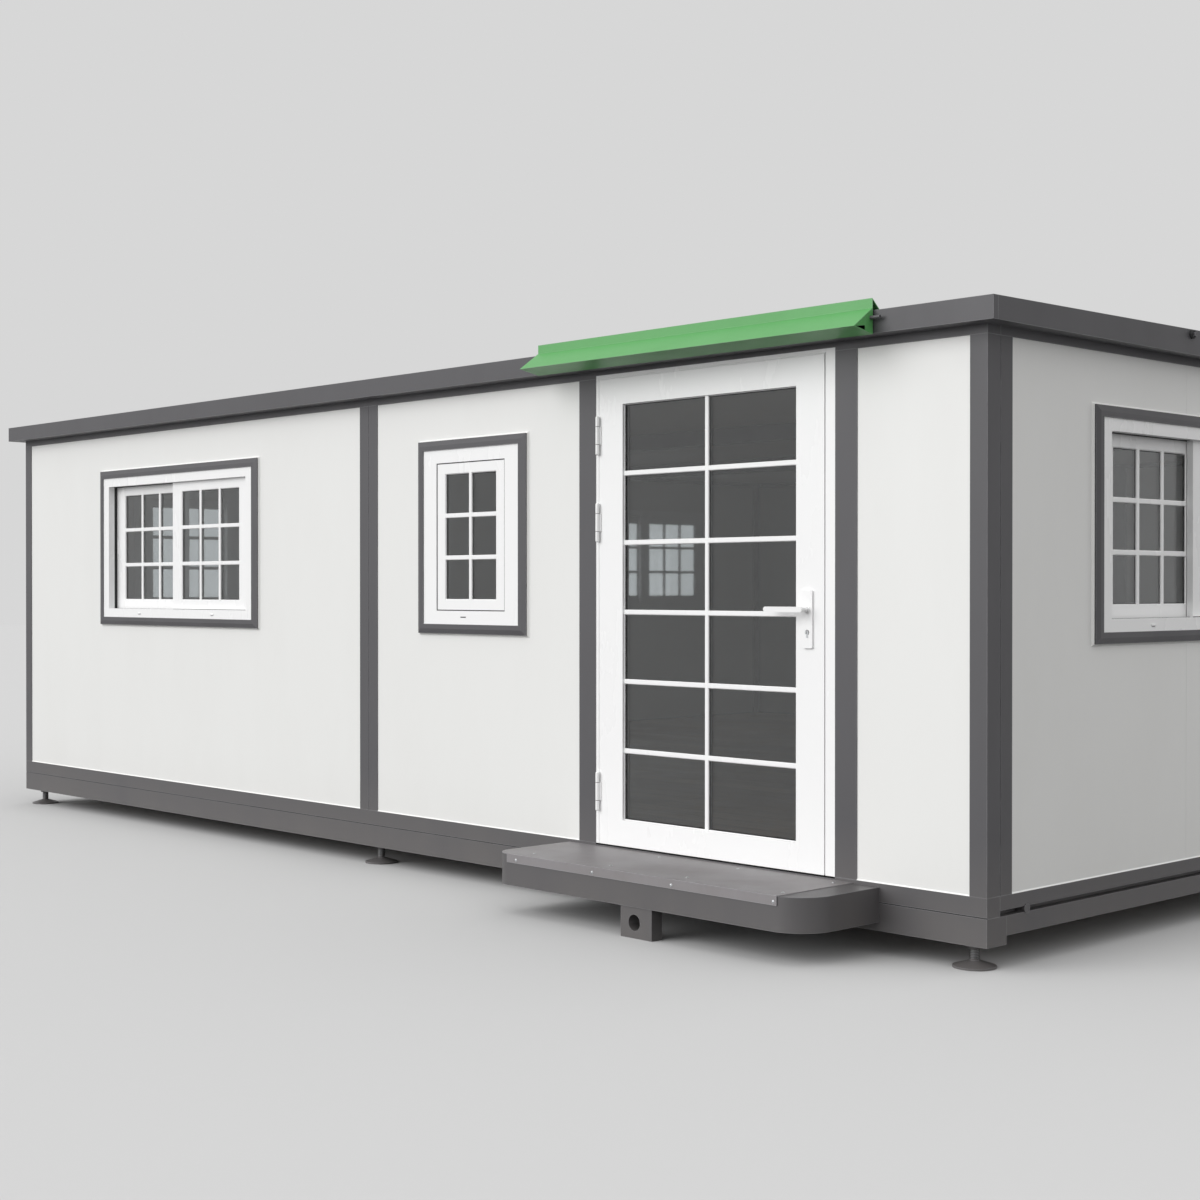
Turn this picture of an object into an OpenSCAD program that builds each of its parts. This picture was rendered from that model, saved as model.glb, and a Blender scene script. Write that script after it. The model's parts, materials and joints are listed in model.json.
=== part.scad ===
// Expandable prefab house: a folding core with a wing on each long side, stood out on its jack feet.
// Millimetres, +Z up. X runs along the front wall, and the front faces -Y.
// Each wall is drawn in its own frame: X along the wall from its middle, Y inwards from its outer face.

/* [Plan] */
// Length of the house over its corner posts
house_l = 7520; // [6900:10:9000]
// Depth of each fold-out wing
wing_d = 2520; // [2480:10:3000]
// Depth of the core between the wings
core_d = 2200; // [1800:10:2800]

/* [Heights] */
// Height of the jack feet under the base beams
foot_h = 93; // [60:1:200]
// Height of the base beams along the front and back
beam_h = 107; // [90:1:180]
// Height of the sill rail on top of the base beams
sill_h = 76; // [60:1:120]
// Height of the wall panels
panel_h = 2060; // [2040:10:2700]
// Height of the top rail over the wall panels
top_rail_h = 36; // [30:1:80]
// Height of the roof edge at the eaves
eave_h = 88; // [70:1:140]

/* [Walls] */
// Thickness of the wall panels
wall_t = 75; // [60:1:100]
// Thickness of the steel trims that hold the panels
trim_t = 4; // [3:0.5:6]
// How far a trim laps over the edge of a panel
trim_lap = 15; // [10:1:25]
// Width of a corner post on the front and back walls
corner_front_w = 77; // [60:1:110]
// Width of a corner post on the end walls
corner_end_w = 82; // [70:1:110]
// Width of the panel trim beside a corner post on the end walls
edge_trim_w = 74; // [50:1:100]
// Width of the posts beside the door
post_w = 108; // [80:1:140]
// Width of the double post in the middle of the front and back walls
middle_post_w = 148; // [120:2:180]
// Width of the steel columns at the corners of the core
core_post_w = 150; // [120:1:180]
// Width of the narrow panel between the door and the corner
narrow_panel_w = 525; // [450:1:600]

/* [Roof] */
// How far the roof overhangs the walls
overhang = 80; // [60:1:120]
// Rise of a wing's roof from the eaves to the core
roof_rise = 14; // [6:1:40]
// Thickness of the roof's edge channels
fascia_t = 30; // [20:1:45]

/* [Windows] */
// Height of the windows over their trims
window_h = 938; // [850:1:1000]
// Height of the windows above the foot of the wall panels
window_sill = 912; // [800:1:1000]
// Width of the wide sliding windows over their trims
wide_window_w = 1740; // [1300:1:1800]
// Width of the end walls' sliding windows over their trims
end_window_w = 1675; // [1200:5:1700]
// Width of the small hinged window over its trim
small_window_w = 803; // [650:1:900]
// Distance from a corner of the house to the end walls' windows
end_window_offset = 712; // [680:1:760]
// Width of the trims round the windows
window_trim_w = 46; // [40:1:60]
// How far the window trims stand out from the panels, over the bevel on their outer edges
window_trim_d = 24; // [18:1:40]

/* [Door] */
// Width of the doorway between its posts
door_w = 1362; // [1200:1:1420]
// How far the doorway reaches up into the top rail
door_bite = 14; // [10:1:24]
// Thickness of the door leaf
leaf_t = 52; // [45:1:60]
// Gap between the door leaf and its frame
leaf_gap = 6; // [5.5:0.5:9]
// Width of the leaf's upright stiles
leaf_stile_w = 145; // [110:1:150]
// Height of the leaf's top and bottom rails
leaf_rail_h = 115; // [90:1:160]
// Width of the jamb that shows beside the lock
lock_jamb_w = 50; // [40:1:60]
// Width of the jamb that shows beside the hinges
hinge_jamb_w = 17; // [14:1:24]

/* [Awning] */
// Length of the awning over the door
awning_l = 1900; // [1600:10:2200]
// How far the awning reaches past the roof edge
awning_reach = 114; // [90:1:200]

/* [Step] */
// Length of the step platform
step_l = 1755; // [1500:10:1900]
// How far the step stands out from the wall
step_d = 447; // [400:1:520]
// Depth of the step platform's side
step_side_h = 134; // [90:1:150]
// Radius of the step's rounded corner at the right
step_corner_r = 155; // [100:5:200]

/* [Hidden] */
$fn = 48;

steel_colour = [0.40, 0.40, 0.42];
panel_colour = [0.91, 0.91, 0.90];
plastic_colour = [0.96, 0.96, 0.96];
glass_colour = [0.22, 0.25, 0.27, 0.5];
floor_colour = [0.62, 0.50, 0.38];
awning_colour = [0.58, 0.74, 0.57];

// Plan and levels that follow from the driving sizes.
house_d = core_d + 2 * wing_d;
beam_top = foot_h + beam_h;
wall_foot = beam_top + sill_h;
wall_top = wall_foot + panel_h;
ceiling_z = wall_top + top_rail_h;
eave_top = ceiling_z + eave_h;
core_roof_top = eave_top + roof_rise;

// Wall build-up: an outer trim, the panel and an inner trim.
frame_d = wall_t + 2 * trim_t;
seam_w = 3;
seam_depth = trim_t - 1;
board_joint = 1435;

// Base.
beam_w = 125;
end_beam_w = 100;
end_beam_lift = 33;
end_groove_h = 22;
end_groove_depth = 40;
core_beam_w = 80;
floor_t = sill_h - 6;
floor_joint = 4;
hinge_pin_r = 18;
hinge_pin_fit = 1;
hinge_pin_stand = 3;
hinge_pin_offset = 255;
top_beam_w = 90;
top_beam_h = 100;
sill_groove_h = 4;
sill_groove_depth = 6;

// Jack feet.
foot_plate_r = 82;
foot_rim_h = 8;
foot_cone_h = 28;
foot_screw_r = 18;
outer_foot_inset = 110;
outer_foot_setback = 80;
core_foot_inset = 200;
outer_foot_y = house_d / 2 - outer_foot_setback;
outer_foot_x = house_l / 2 - outer_foot_inset;
core_foot_x = house_l / 2 - core_foot_inset;
foot_spots = concat(
    [for (x = [-outer_foot_x, 0, outer_foot_x], y = [-outer_foot_y, outer_foot_y]) [x, y]],
    [for (x = [-core_foot_x, 0, core_foot_x], y = [-core_d / 2, core_d / 2]) [x, y]]
);

// Front wall stations, from the middle of the wall.
wall_end = house_l / 2;
narrow_right = wall_end - corner_front_w;
narrow_left = narrow_right - narrow_panel_w;
door_right = narrow_left - post_w;
door_left = door_right - door_w;
middle_panel_right = door_left - post_w;
middle_panel_left = middle_post_w / 2;
wide_panel_left = -wall_end + corner_front_w;
wide_panel_right = -middle_post_w / 2;
wide_window_x = (wide_panel_left + wide_panel_right) / 2;
small_window_x = (middle_panel_left + middle_panel_right) / 2;

// End wall stations, from the middle of the wall.
end_panel_edge = house_d / 2 - corner_end_w - seam_w - edge_trim_w;
core_edge = core_d / 2;
end_window_x = house_d / 2 - end_window_offset - end_window_w / 2;

// Windows.
window_z = wall_foot + window_sill;
trim_bevel_w = 24;
trim_bevel_d = 8;
sash_t = 28;
track_gap = 4;
frame_front = trim_t - 18;
outer_track = trim_t + 6;
inner_track = outer_track + sash_t + track_gap;
hinged_sash_front = frame_front + 3;
glass_t = 16;
slider_frame_stile_w = 65;
slider_frame_rail_h = 52;
slider_sash_stile_w = 100;
slider_sash_rail_h = 54;
hinged_frame_stile_w = 101;
hinged_frame_rail_h = 65;
hinged_sash_stile_w = 64;
hinged_sash_rail_h = 53;
// Each window: its wall, its place along the wall, its width, and which sash slides in the outer track.
// A hinged window has no track.
sliding_windows = [
    ["front", wide_window_x, wide_window_w, "right"],
    ["back", wide_window_x, wide_window_w, "right"],
    ["back", -wide_window_x, wide_window_w, "right"],
    ["right", -end_window_x, end_window_w, "right"],
    ["right", end_window_x, end_window_w, "right"],
    ["left", -end_window_x, end_window_w, "right"],
    ["left", end_window_x, end_window_w, "right"]
];
casement_windows = [["front", small_window_x, small_window_w, "none"]];
all_windows = concat(sliding_windows, casement_windows);

// Door. The leaf lies between the jambs, and closes against a stop behind it.
door_face = 2;
door_top = wall_top + door_bite;
door_head_h = 14;
stop_lap = 15;
stop_front = door_face + leaf_t + leaf_gap;
threshold_h = 24;
sill_rebate = 8;
leaf_left = door_left + hinge_jamb_w + leaf_gap;
leaf_right = door_right - lock_jamb_w - leaf_gap;
leaf_w = leaf_right - leaf_left;
leaf_foot = wall_foot;
leaf_top = door_top - door_head_h - leaf_gap;
door_glass_t = 24;

// Door hinges: the frame's two knuckles hold the pin, and the leaf's bored knuckle turns between them.
hinge_x = leaf_left - leaf_gap / 2;
hinge_y = door_face - 11;
knuckle_r = 9;
frame_knuckle_h = 42;
leaf_knuckle_h = 79;
hinge_rod_r = 5;
hinge_bore_r = 5.1;
hinge_gap = 0.3;
upper_knuckle_foot = frame_knuckle_h + leaf_knuckle_h + 2 * hinge_gap;
flag_t = 4;
leaf_flag_w = 12;
frame_flag_w = hinge_jamb_w - 2;
hinge_feet = [149, 1341, 1726];

// Lock furniture.
plate_w = 50;
plate_h = 231;
plate_t = 9;
plate_corner_r = 6;
spindle_from_edge = 80;
spindle_z = wall_foot + 1047;
plate_top_over_spindle = 77;
spindle_r = 5;
spindle_bore_r = 5.1;
leaf_bore_r = 8;
lever_l = 180;
lever_h = 22;
lever_t = 13;
lever_neck_r = 9;
lever_neck_l = 34;
lever_gap = 0.3;
spindle_x = leaf_right - spindle_from_edge;

// Roof.
flashing_w = 110;
flashing_t = 4;
lug_w = 16;
lug_l = 20;
lug_offset = 1330;
lug_drop = 22;

// Awning: a bent sheet over the door, with end plates, carried by brackets on the roof edge.
awning_sheet_t = 3;
awning_top = eave_top + 45;
awning_leg_w = 45;
awning_leg_foot = eave_top + 5;
awning_flange_h = 38;
awning_drop = 78;
awning_soffit_fall = 21;
awning_return_h = 20;
awning_x = (leaf_left + leaf_right) / 2;
awning_back = -overhang - 6;
awning_face = awning_back - awning_sheet_t;
awning_front = awning_back - awning_reach;
awning_fold = awning_top - awning_flange_h;
awning_nose = awning_fold - awning_drop;
awning_foot = awning_nose - awning_soffit_fall;
// Outer face of the sheet, from the leg that slopes back to the roof to the return behind the soffit.
awning_path = [
    [awning_face + awning_leg_w, awning_leg_foot], [awning_face, awning_top], [awning_face, awning_fold],
    [awning_front, awning_nose], [awning_back, awning_foot], [awning_back, awning_foot + awning_return_h]
];
end_plate_w = 46;
end_pin_r = 7;
end_pin_l = 45;
end_pin_setback = 14;
end_pin_drop = 38;
bracket_w = 40;
bracket_h = 60;
bracket_drop = 16;
awning_bracket_x = [door_left - post_w / 2, door_right + post_w / 2];

// Step.
step_top = wall_foot - 12;
tread_t = 3;
tread_lip_h = 38;
tread_l = step_l - 130;
step_sheet_t = 5;
step_left = door_right - 1536;
step_right = step_left + step_l;
step_foot = step_top - tread_t - step_side_h;
block_w = 176;
block_d = 60;
block_hole_r = 33;
block_x = step_left + 787;
block_setback = step_sheet_t;
block_hole_shift = 10;
step_left_r = 90;

// The origin is the middle of the whole outline, and the tread plate reaches further out than the roof.
centre_shift = (step_d + tread_t - overhang) / 2;

module mirror_copy(direction) {
    children();
    mirror(direction) children();
}

// Draws its children in the frame of one wall: X along it, Y inwards from its outer face.
module on_wall(wall) {
    yaw = wall == "front" ? 0 : wall == "right" ? 90 : wall == "back" ? 180 : -90;
    face = wall == "front" || wall == "back" ? house_d / 2 : house_l / 2;
    rotate([0, 0, yaw]) translate([0, -face, 0]) children();
}

// Carries a profile drawn in Y and Z along X, from x0 to x1.
module along_x(x0, x1) {
    translate([x0, 0, 0]) rotate([90, 0, 90]) linear_extrude(height = x1 - x0) children();
}

// An upright carried from the foot to the top of the wall panels.
module upright() {
    translate([0, 0, wall_foot]) linear_extrude(height = panel_h) children();
}

// A rectangular ring of width w and height h, standing on its lower edge and centred on X.
module ring(w, h, stile, rail, front, depth) {
    translate([0, front + depth, 0]) rotate([90, 0, 0]) linear_extrude(height = depth)
        difference() {
            translate([-w / 2, 0]) square([w, h]);
            translate([-w / 2 + stile, rail]) square([w - 2 * stile, h - 2 * rail]);
        }
}

// ---- Base

module base_long_beams() {
    color(steel_colour) for (wall = ["front", "back"]) on_wall(wall)
        translate([-house_l / 2, 0, foot_h]) cube([house_l, beam_w, beam_h]);
}

// The end beams are shallower. Hinge pins lie on them, in the dark groove under the end sills.
module base_end_beams() {
    run = house_d / 2 - beam_w;
    color(steel_colour) for (wall = ["left", "right"]) on_wall(wall) {
        translate([-run, 0, foot_h + end_beam_lift]) cube([2 * run, end_beam_w, beam_h - end_beam_lift]);
        at_hinge_pins() translate([0, 0, -hinge_pin_stand])
            cylinder(r = hinge_pin_r, h = end_groove_depth + hinge_pin_stand);
    }
}

// Places its children at the hinge pins of an end wall, their length running in from the wall's face.
module at_hinge_pins() {
    mirror_copy([1, 0, 0])
        translate([house_d / 2 - hinge_pin_offset, 0, beam_top + end_groove_h / 2])
            rotate([-90, 0, 0]) children();
}

module base_core_beams() {
    run = house_l / 2 - end_beam_w;
    color(steel_colour) mirror_copy([0, 1, 0])
        translate([-run, core_edge - core_beam_w / 2, foot_h]) cube([2 * run, core_beam_w, beam_h]);
}

// Each foot is a round plate rising in a cone to the screw that carries the beam.
module jack_feet() {
    color(steel_colour) for (spot = foot_spots) translate(spot) {
        rotate_extrude() polygon([
            [0, 0], [foot_plate_r, 0], [foot_plate_r, foot_rim_h], [foot_screw_r, foot_cone_h],
            [0, foot_cone_h]
        ]);
        cylinder(r = foot_screw_r, h = foot_h);
    }
}

module core_floor() {
    run = house_l / 2 - frame_d;
    half = core_edge - floor_joint / 2;
    color(floor_colour) translate([-run, -half, beam_top]) cube([2 * run, 2 * half, floor_t]);
}

module wing_floors() {
    run = house_l / 2 - frame_d;
    inner = core_edge + floor_joint / 2;
    color(floor_colour) mirror_copy([0, 1, 0])
        translate([-run, inner, beam_top]) cube([2 * run, house_d / 2 - frame_d - inner, floor_t]);
}

// ---- Rails

module long_sills() {
    color(steel_colour) for (wall = ["front", "back"]) on_wall(wall) difference() {
        along_x(-house_l / 2, house_l / 2) polygon([
            [sill_groove_depth, beam_top], [frame_d, beam_top], [frame_d, wall_foot], [0, wall_foot],
            [0, beam_top + sill_groove_h], [sill_groove_depth, beam_top + sill_groove_h]
        ]);
        if (wall == "front")
            translate([door_left, -1, wall_foot - sill_rebate])
                cube([door_w, stop_front + 1, sill_rebate + 1]);
    }
}

// The end sills stand on their inner half, so that a groove shows under their faces.
module end_sills() {
    run = house_d / 2 - frame_d;
    groove_top = beam_top + end_groove_h;
    color(steel_colour) for (wall = ["left", "right"]) on_wall(wall) difference() {
        along_x(-run, run) polygon([
            [0, groove_top], [end_groove_depth, groove_top], [end_groove_depth, beam_top],
            [frame_d, beam_top], [frame_d, wall_foot], [0, wall_foot]
        ]);
        at_hinge_pins() translate([0, 0, -1])
            cylinder(r = hinge_pin_r + hinge_pin_fit, h = end_groove_depth + 1);
    }
}

module long_top_rails() {
    color(steel_colour) for (wall = ["front", "back"]) on_wall(wall) difference() {
        translate([-house_l / 2, 0, wall_top]) cube([house_l, frame_d, top_rail_h]);
        if (wall == "front")
            translate([door_left, -1, wall_top - 1]) cube([door_w, frame_d + 2, door_top - wall_top + 1]);
    }
}

module end_top_rails() {
    run = house_d / 2 - frame_d;
    color(steel_colour) for (wall = ["left", "right"]) on_wall(wall)
        translate([-run, 0, wall_top]) cube([2 * run, frame_d, top_rail_h]);
}

module core_top_beams() {
    run = house_l / 2 - core_post_w;
    color(steel_colour) mirror_copy([0, 1, 0])
        translate([-run, core_edge - top_beam_w, ceiling_z - top_beam_h])
            cube([2 * run, top_beam_w, top_beam_h]);
}

// ---- Posts

// An upright that holds the panels between its outer and inner trims. A side with no lap is plain.
module post_profile(width, lap_left, lap_right) {
    translate([-width / 2, 0]) square([width, trim_t]);
    translate([-width / 2 + lap_left, 0]) square([width - lap_left - lap_right, frame_d]);
    translate([-width / 2, frame_d - trim_t]) square([width, trim_t]);
}

module corner_post_profile() {
    reach = corner_end_w + seam_w + edge_trim_w;
    difference() {
        union() {
            square([corner_front_w - trim_lap, reach - trim_lap]);
            square([corner_front_w, trim_t]);
            translate([0, frame_d - trim_t]) square([frame_d, reach - trim_lap - frame_d + trim_t]);
            square([trim_t, reach]);
            translate([frame_d - trim_t, frame_d]) square([trim_t, reach - frame_d]);
        }
        translate([-1, corner_end_w]) square([seam_depth + 1, seam_w]);
    }
}

module corner_posts() {
    color(steel_colour) mirror_copy([1, 0, 0]) mirror_copy([0, 1, 0])
        translate([-house_l / 2, -house_d / 2, 0]) upright() corner_post_profile();
}

module wall_posts() {
    color(steel_colour) {
        for (wall = ["front", "back"]) on_wall(wall) difference() {
            upright() post_profile(middle_post_w, trim_lap, trim_lap);
            translate([-seam_w / 2, -1, wall_foot - 1]) cube([seam_w, seam_depth + 1, panel_h + 2]);
        }
        on_wall("front") {
            translate([door_left - post_w / 2, 0, 0]) upright() post_profile(post_w, trim_lap, 0);
            translate([door_right + post_w / 2, 0, 0]) upright() post_profile(post_w, 0, trim_lap);
        }
    }
}

module core_columns() {
    color(steel_colour) for (wall = ["left", "right"]) on_wall(wall) mirror_copy([1, 0, 0])
        upright() difference() {
            translate([core_edge - core_post_w, 0]) square(core_post_w);
            for (x = [core_edge - core_post_w - 1, core_edge - trim_lap])
                translate([x, trim_t]) square([trim_lap + 1, wall_t]);
        }
}

// ---- Walls

// A sandwich panel from x0 to x1, its edges under the trims beside it.
module panel(x0, x1, lap_left = trim_lap, lap_right = trim_lap) {
    translate([x0 - lap_left, trim_t, wall_foot]) cube([x1 - x0 + lap_left + lap_right, wall_t, panel_h]);
}

module window_opening(x, width) {
    w = width - 2 * window_trim_w;
    translate([x - w / 2, -1, window_z + window_trim_w]) cube([w, frame_d + 2, window_h - 2 * window_trim_w]);
}

module front_wall_wide() {
    color(panel_colour) on_wall("front") difference() {
        panel(wide_panel_left, wide_panel_right);
        window_opening(wide_window_x, wide_window_w);
    }
}

module front_wall_middle() {
    color(panel_colour) on_wall("front") difference() {
        panel(middle_panel_left, middle_panel_right);
        window_opening(small_window_x, small_window_w);
    }
}

module front_wall_narrow() {
    color(panel_colour) on_wall("front") panel(narrow_left, narrow_right);
}

module back_walls() {
    color(panel_colour) on_wall("back") mirror_copy([1, 0, 0]) difference() {
        panel(wide_panel_left, wide_panel_right);
        window_opening(wide_window_x, wide_window_w);
    }
}

// An end wall of a wing: two boards, their joint under the window, from the corner post to the core.
module wing_end_panel() {
    joint_x = house_d / 2 - board_joint;
    difference() {
        panel(core_edge, end_panel_edge);
        window_opening(end_window_x, end_window_w);
        for (y = [trim_t - 1, trim_t + wall_t - 1])
            translate([joint_x - 1, y, wall_foot - 1]) cube([2, 2, panel_h + 2]);
    }
}

module right_wing_walls() {
    color(panel_colour) on_wall("right") mirror_copy([1, 0, 0]) wing_end_panel();
}

module left_wing_walls() {
    color(panel_colour) on_wall("left") mirror_copy([1, 0, 0]) wing_end_panel();
}

module core_end_walls() {
    half = core_edge - core_post_w;
    color(panel_colour) for (wall = ["left", "right"]) on_wall(wall) panel(-half, half);
}

// ---- Windows

// Places its children at each window of a list, with the window's sizes for them to use.
module at_windows(list) {
    for (window = list) on_wall(window[0]) translate([window[1], 0, window_z]) {
        $window_w = window[2];
        $outer_side = window[3];
        children();
    }
}

function hinged() = $outer_side == "none";
function frame_stile() = hinged() ? hinged_frame_stile_w : slider_frame_stile_w;
function frame_rail() = hinged() ? hinged_frame_rail_h : slider_frame_rail_h;
function sash_stile() = hinged() ? hinged_sash_stile_w : slider_sash_stile_w;
function sash_rail() = hinged() ? hinged_sash_rail_h : slider_sash_rail_h;
function frame_w() = $window_w - 2 * window_trim_w;
function frame_h() = window_h - 2 * window_trim_w;
function light_w() = frame_w() - 2 * frame_stile();
function light_h() = frame_h() - 2 * frame_rail();
function sash_w() = hinged() ? light_w() : (light_w() + sash_stile()) / 2;

// The trims' outer edges are bevelled on all four sides.
module window_trims() {
    face = trim_t - window_trim_d;
    color(steel_colour) at_windows(all_windows) difference() {
        ring($window_w, window_h, window_trim_w, window_trim_w, face, window_trim_d);
        mirror_copy([1, 0, 0]) translate([-$window_w / 2, face, -1]) linear_extrude(height = window_h + 2)
            bevel_cut();
        translate([0, face, window_h / 2]) mirror_copy([0, 0, 1]) translate([0, 0, -window_h / 2])
            along_x(-$window_w / 2 - 1, $window_w / 2 + 1) mirror([1, -1]) bevel_cut();
    }
}

// The corner that the bevel takes off a trim's outer edge, in the trim's section.
module bevel_cut() {
    polygon([[0, trim_bevel_d], [trim_bevel_w, 0], [trim_bevel_w, -1], [-1, -1], [-1, trim_bevel_d]]);
}

module window_frames() {
    color(plastic_colour) at_windows(all_windows) translate([0, 0, window_trim_w])
        ring(frame_w(), frame_h(), frame_stile(), frame_rail(), frame_front, frame_d - frame_front);
}

// Places its children at each sash of a window, on its lower edge and in its track.
module at_sashes() {
    reach = (light_w() - sash_w()) / 2;
    for (side = hinged() ? ["none"] : ["left", "right"]) {
        track = hinged() ? hinged_sash_front : side == $outer_side ? outer_track : inner_track;
        translate([side == "left" ? -reach : reach, track, window_trim_w + frame_rail()]) children();
    }
}

module sash() {
    ring(sash_w(), light_h(), sash_stile(), sash_rail(), 0, sash_t);
}

module sliding_sashes() {
    color(plastic_colour) at_windows(sliding_windows) at_sashes() sash();
}

module casement_sash() {
    color(plastic_colour) at_windows(casement_windows) at_sashes() sash();
}

module window_glass() {
    color(glass_colour) at_windows(all_windows) at_sashes() {
        w = sash_w() - 2 * sash_stile();
        translate([-w / 2, (sash_t - glass_t) / 2, sash_rail()])
            cube([w, glass_t, light_h() - 2 * sash_rail()]);
    }
}

// ---- Door frame

module door_jambs() {
    height = door_top - wall_foot;
    color(plastic_colour) on_wall("front") translate([0, 0, wall_foot]) linear_extrude(height = height) {
        translate([door_left, 0]) jamb_profile(hinge_jamb_w);
        translate([door_right, 0]) mirror([1, 0]) jamb_profile(lock_jamb_w);
    }
}

// A jamb in plan, its stop reaching behind the leaf.
module jamb_profile(width) {
    translate([0, door_face]) square([width, frame_d - door_face]);
    translate([0, stop_front]) square([width + leaf_gap + stop_lap, frame_d - stop_front]);
}

module door_head_and_threshold() {
    left = door_left + hinge_jamb_w;
    right = door_right - lock_jamb_w;
    stop_in = leaf_gap + stop_lap;
    color(plastic_colour) on_wall("front") {
        along_x(left, right) translate([door_face, door_top - door_head_h])
            square([stop_front - door_face, door_head_h]);
        along_x(left + stop_in, right - stop_in) {
            translate([stop_front, leaf_top - stop_lap])
                square([frame_d - stop_front, door_top - leaf_top + stop_lap]);
            translate([stop_front, wall_foot]) square([frame_d - stop_front, threshold_h]);
        }
    }
}

// ---- Door hinges

module at_hinges() {
    on_wall("front") for (z = hinge_feet) translate([hinge_x, hinge_y, wall_foot + z]) children();
}

module frame_hinges() {
    back = door_face - hinge_y;
    color(plastic_colour) at_hinges() {
        cylinder(r = hinge_rod_r, h = upper_knuckle_foot + frame_knuckle_h);
        for (z = [0, upper_knuckle_foot]) translate([0, 0, z]) {
            cylinder(r = knuckle_r, h = frame_knuckle_h);
            translate([-leaf_gap / 2 - frame_flag_w, back - flag_t, 0])
                cube([frame_flag_w, flag_t, frame_knuckle_h]);
            translate([-leaf_gap / 2 - 2, 0, 0]) cube([leaf_gap / 2 + 2, back - 1, frame_knuckle_h]);
        }
    }
}

module leaf_hinges() {
    back = door_face - hinge_y;
    color(plastic_colour) at_hinges() translate([0, 0, frame_knuckle_h + hinge_gap]) difference() {
        union() {
            cylinder(r = knuckle_r, h = leaf_knuckle_h);
            translate([0, back - flag_t - 1, 0]) cube([leaf_gap / 2 + leaf_flag_w, 1, leaf_knuckle_h]);
            translate([leaf_gap / 2, back - flag_t, 0]) cube([leaf_flag_w, flag_t, leaf_knuckle_h]);
            cube([knuckle_r, back - flag_t, leaf_knuckle_h]);
        }
        translate([0, 0, -1]) cylinder(r = hinge_bore_r, h = leaf_knuckle_h + 2);
    }
}

// ---- Door leaf

module door_leaf() {
    height = leaf_top - leaf_foot;
    color(plastic_colour) on_wall("front") difference() {
        translate([(leaf_left + leaf_right) / 2, 0, leaf_foot])
            ring(leaf_w, height, leaf_stile_w, leaf_rail_h, door_face, leaf_t);
        translate([spindle_x, door_face - 1, spindle_z]) rotate([-90, 0, 0])
            cylinder(r = leaf_bore_r, h = leaf_t + 2);
    }
}

module door_glass() {
    w = leaf_w - 2 * leaf_stile_w;
    h = leaf_top - leaf_foot - 2 * leaf_rail_h;
    front = door_face + (leaf_t - door_glass_t) / 2;
    color(glass_colour) on_wall("front")
        translate([leaf_left + leaf_stile_w, front, leaf_foot + leaf_rail_h]) cube([w, door_glass_t, h]);
}

// A long plate outside and inside the leaf, with a bore for the spindle.
module door_plates() {
    color(plastic_colour) on_wall("front") for (y = [door_face - plate_t, door_face + leaf_t])
        translate([spindle_x, y + plate_t, spindle_z]) rotate([90, 0, 0])
            linear_extrude(height = plate_t) difference() {
                plate_outline();
                circle(r = spindle_bore_r);
            }
}

module plate_outline() {
    low = plate_top_over_spindle - plate_h;
    difference() {
        translate([-plate_w / 2, low]) square([plate_w, plate_h]);
        for (sx = [-1, 1], z = [low, plate_top_over_spindle])
            translate([sx * plate_w / 2, z]) square(2 * plate_corner_r, center = true);
    }
    for (sx = [-1, 1], z = [low + plate_corner_r, plate_top_over_spindle - plate_corner_r])
        translate([sx * (plate_w / 2 - plate_corner_r), z]) circle(r = plate_corner_r);
}

// The outer and inner levers on their common spindle.
module door_levers() {
    middle = door_face + leaf_t / 2;
    reach = leaf_t / 2 + plate_t + lever_gap;
    color("silver") on_wall("front") translate([spindle_x, middle, spindle_z]) {
        rotate([90, 0, 0]) cylinder(r = spindle_r, h = 2 * reach + 2, center = true);
        mirror_copy([0, 1, 0]) translate([0, reach, 0]) {
            rotate([-90, 0, 0]) cylinder(r = lever_neck_r, h = lever_neck_l);
            translate([0, lever_neck_l, 0]) rotate([-90, 0, 0]) linear_extrude(height = lever_t) {
                circle(d = lever_h);
                translate([-lever_l, -lever_h / 2]) square([lever_l, lever_h]);
                translate([-lever_l, 0]) circle(d = lever_h);
            }
        }
    }
}

// ---- Roof

module core_roof() {
    run = house_l / 2 + overhang - fascia_t;
    color(steel_colour) translate([-run, -core_edge, ceiling_z])
        cube([2 * run, core_d, core_roof_top - ceiling_z]);
}

module wing_roofs() {
    run = house_l / 2 + overhang - fascia_t;
    edge = house_d / 2 + overhang - fascia_t;
    color(steel_colour) mirror_copy([0, 1, 0]) along_x(-run, run) polygon([
        [core_edge, ceiling_z], [edge, ceiling_z], [edge, eave_top], [core_edge, core_roof_top]
    ]);
}

// Flat strips over the joints between the core's roof and the wings' roofs.
module roof_flashings() {
    run = house_l / 2 + overhang - fascia_t;
    color(steel_colour) mirror_copy([0, 1, 0])
        translate([-run, core_edge - flashing_w / 2, core_roof_top]) cube([2 * run, flashing_w, flashing_t]);
}

module eave_fascias() {
    color(steel_colour) for (wall = ["front", "back"]) on_wall(wall)
        translate([-house_l / 2 - overhang, -overhang, ceiling_z])
            cube([house_l + 2 * overhang, fascia_t, eave_h]);
}

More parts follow.
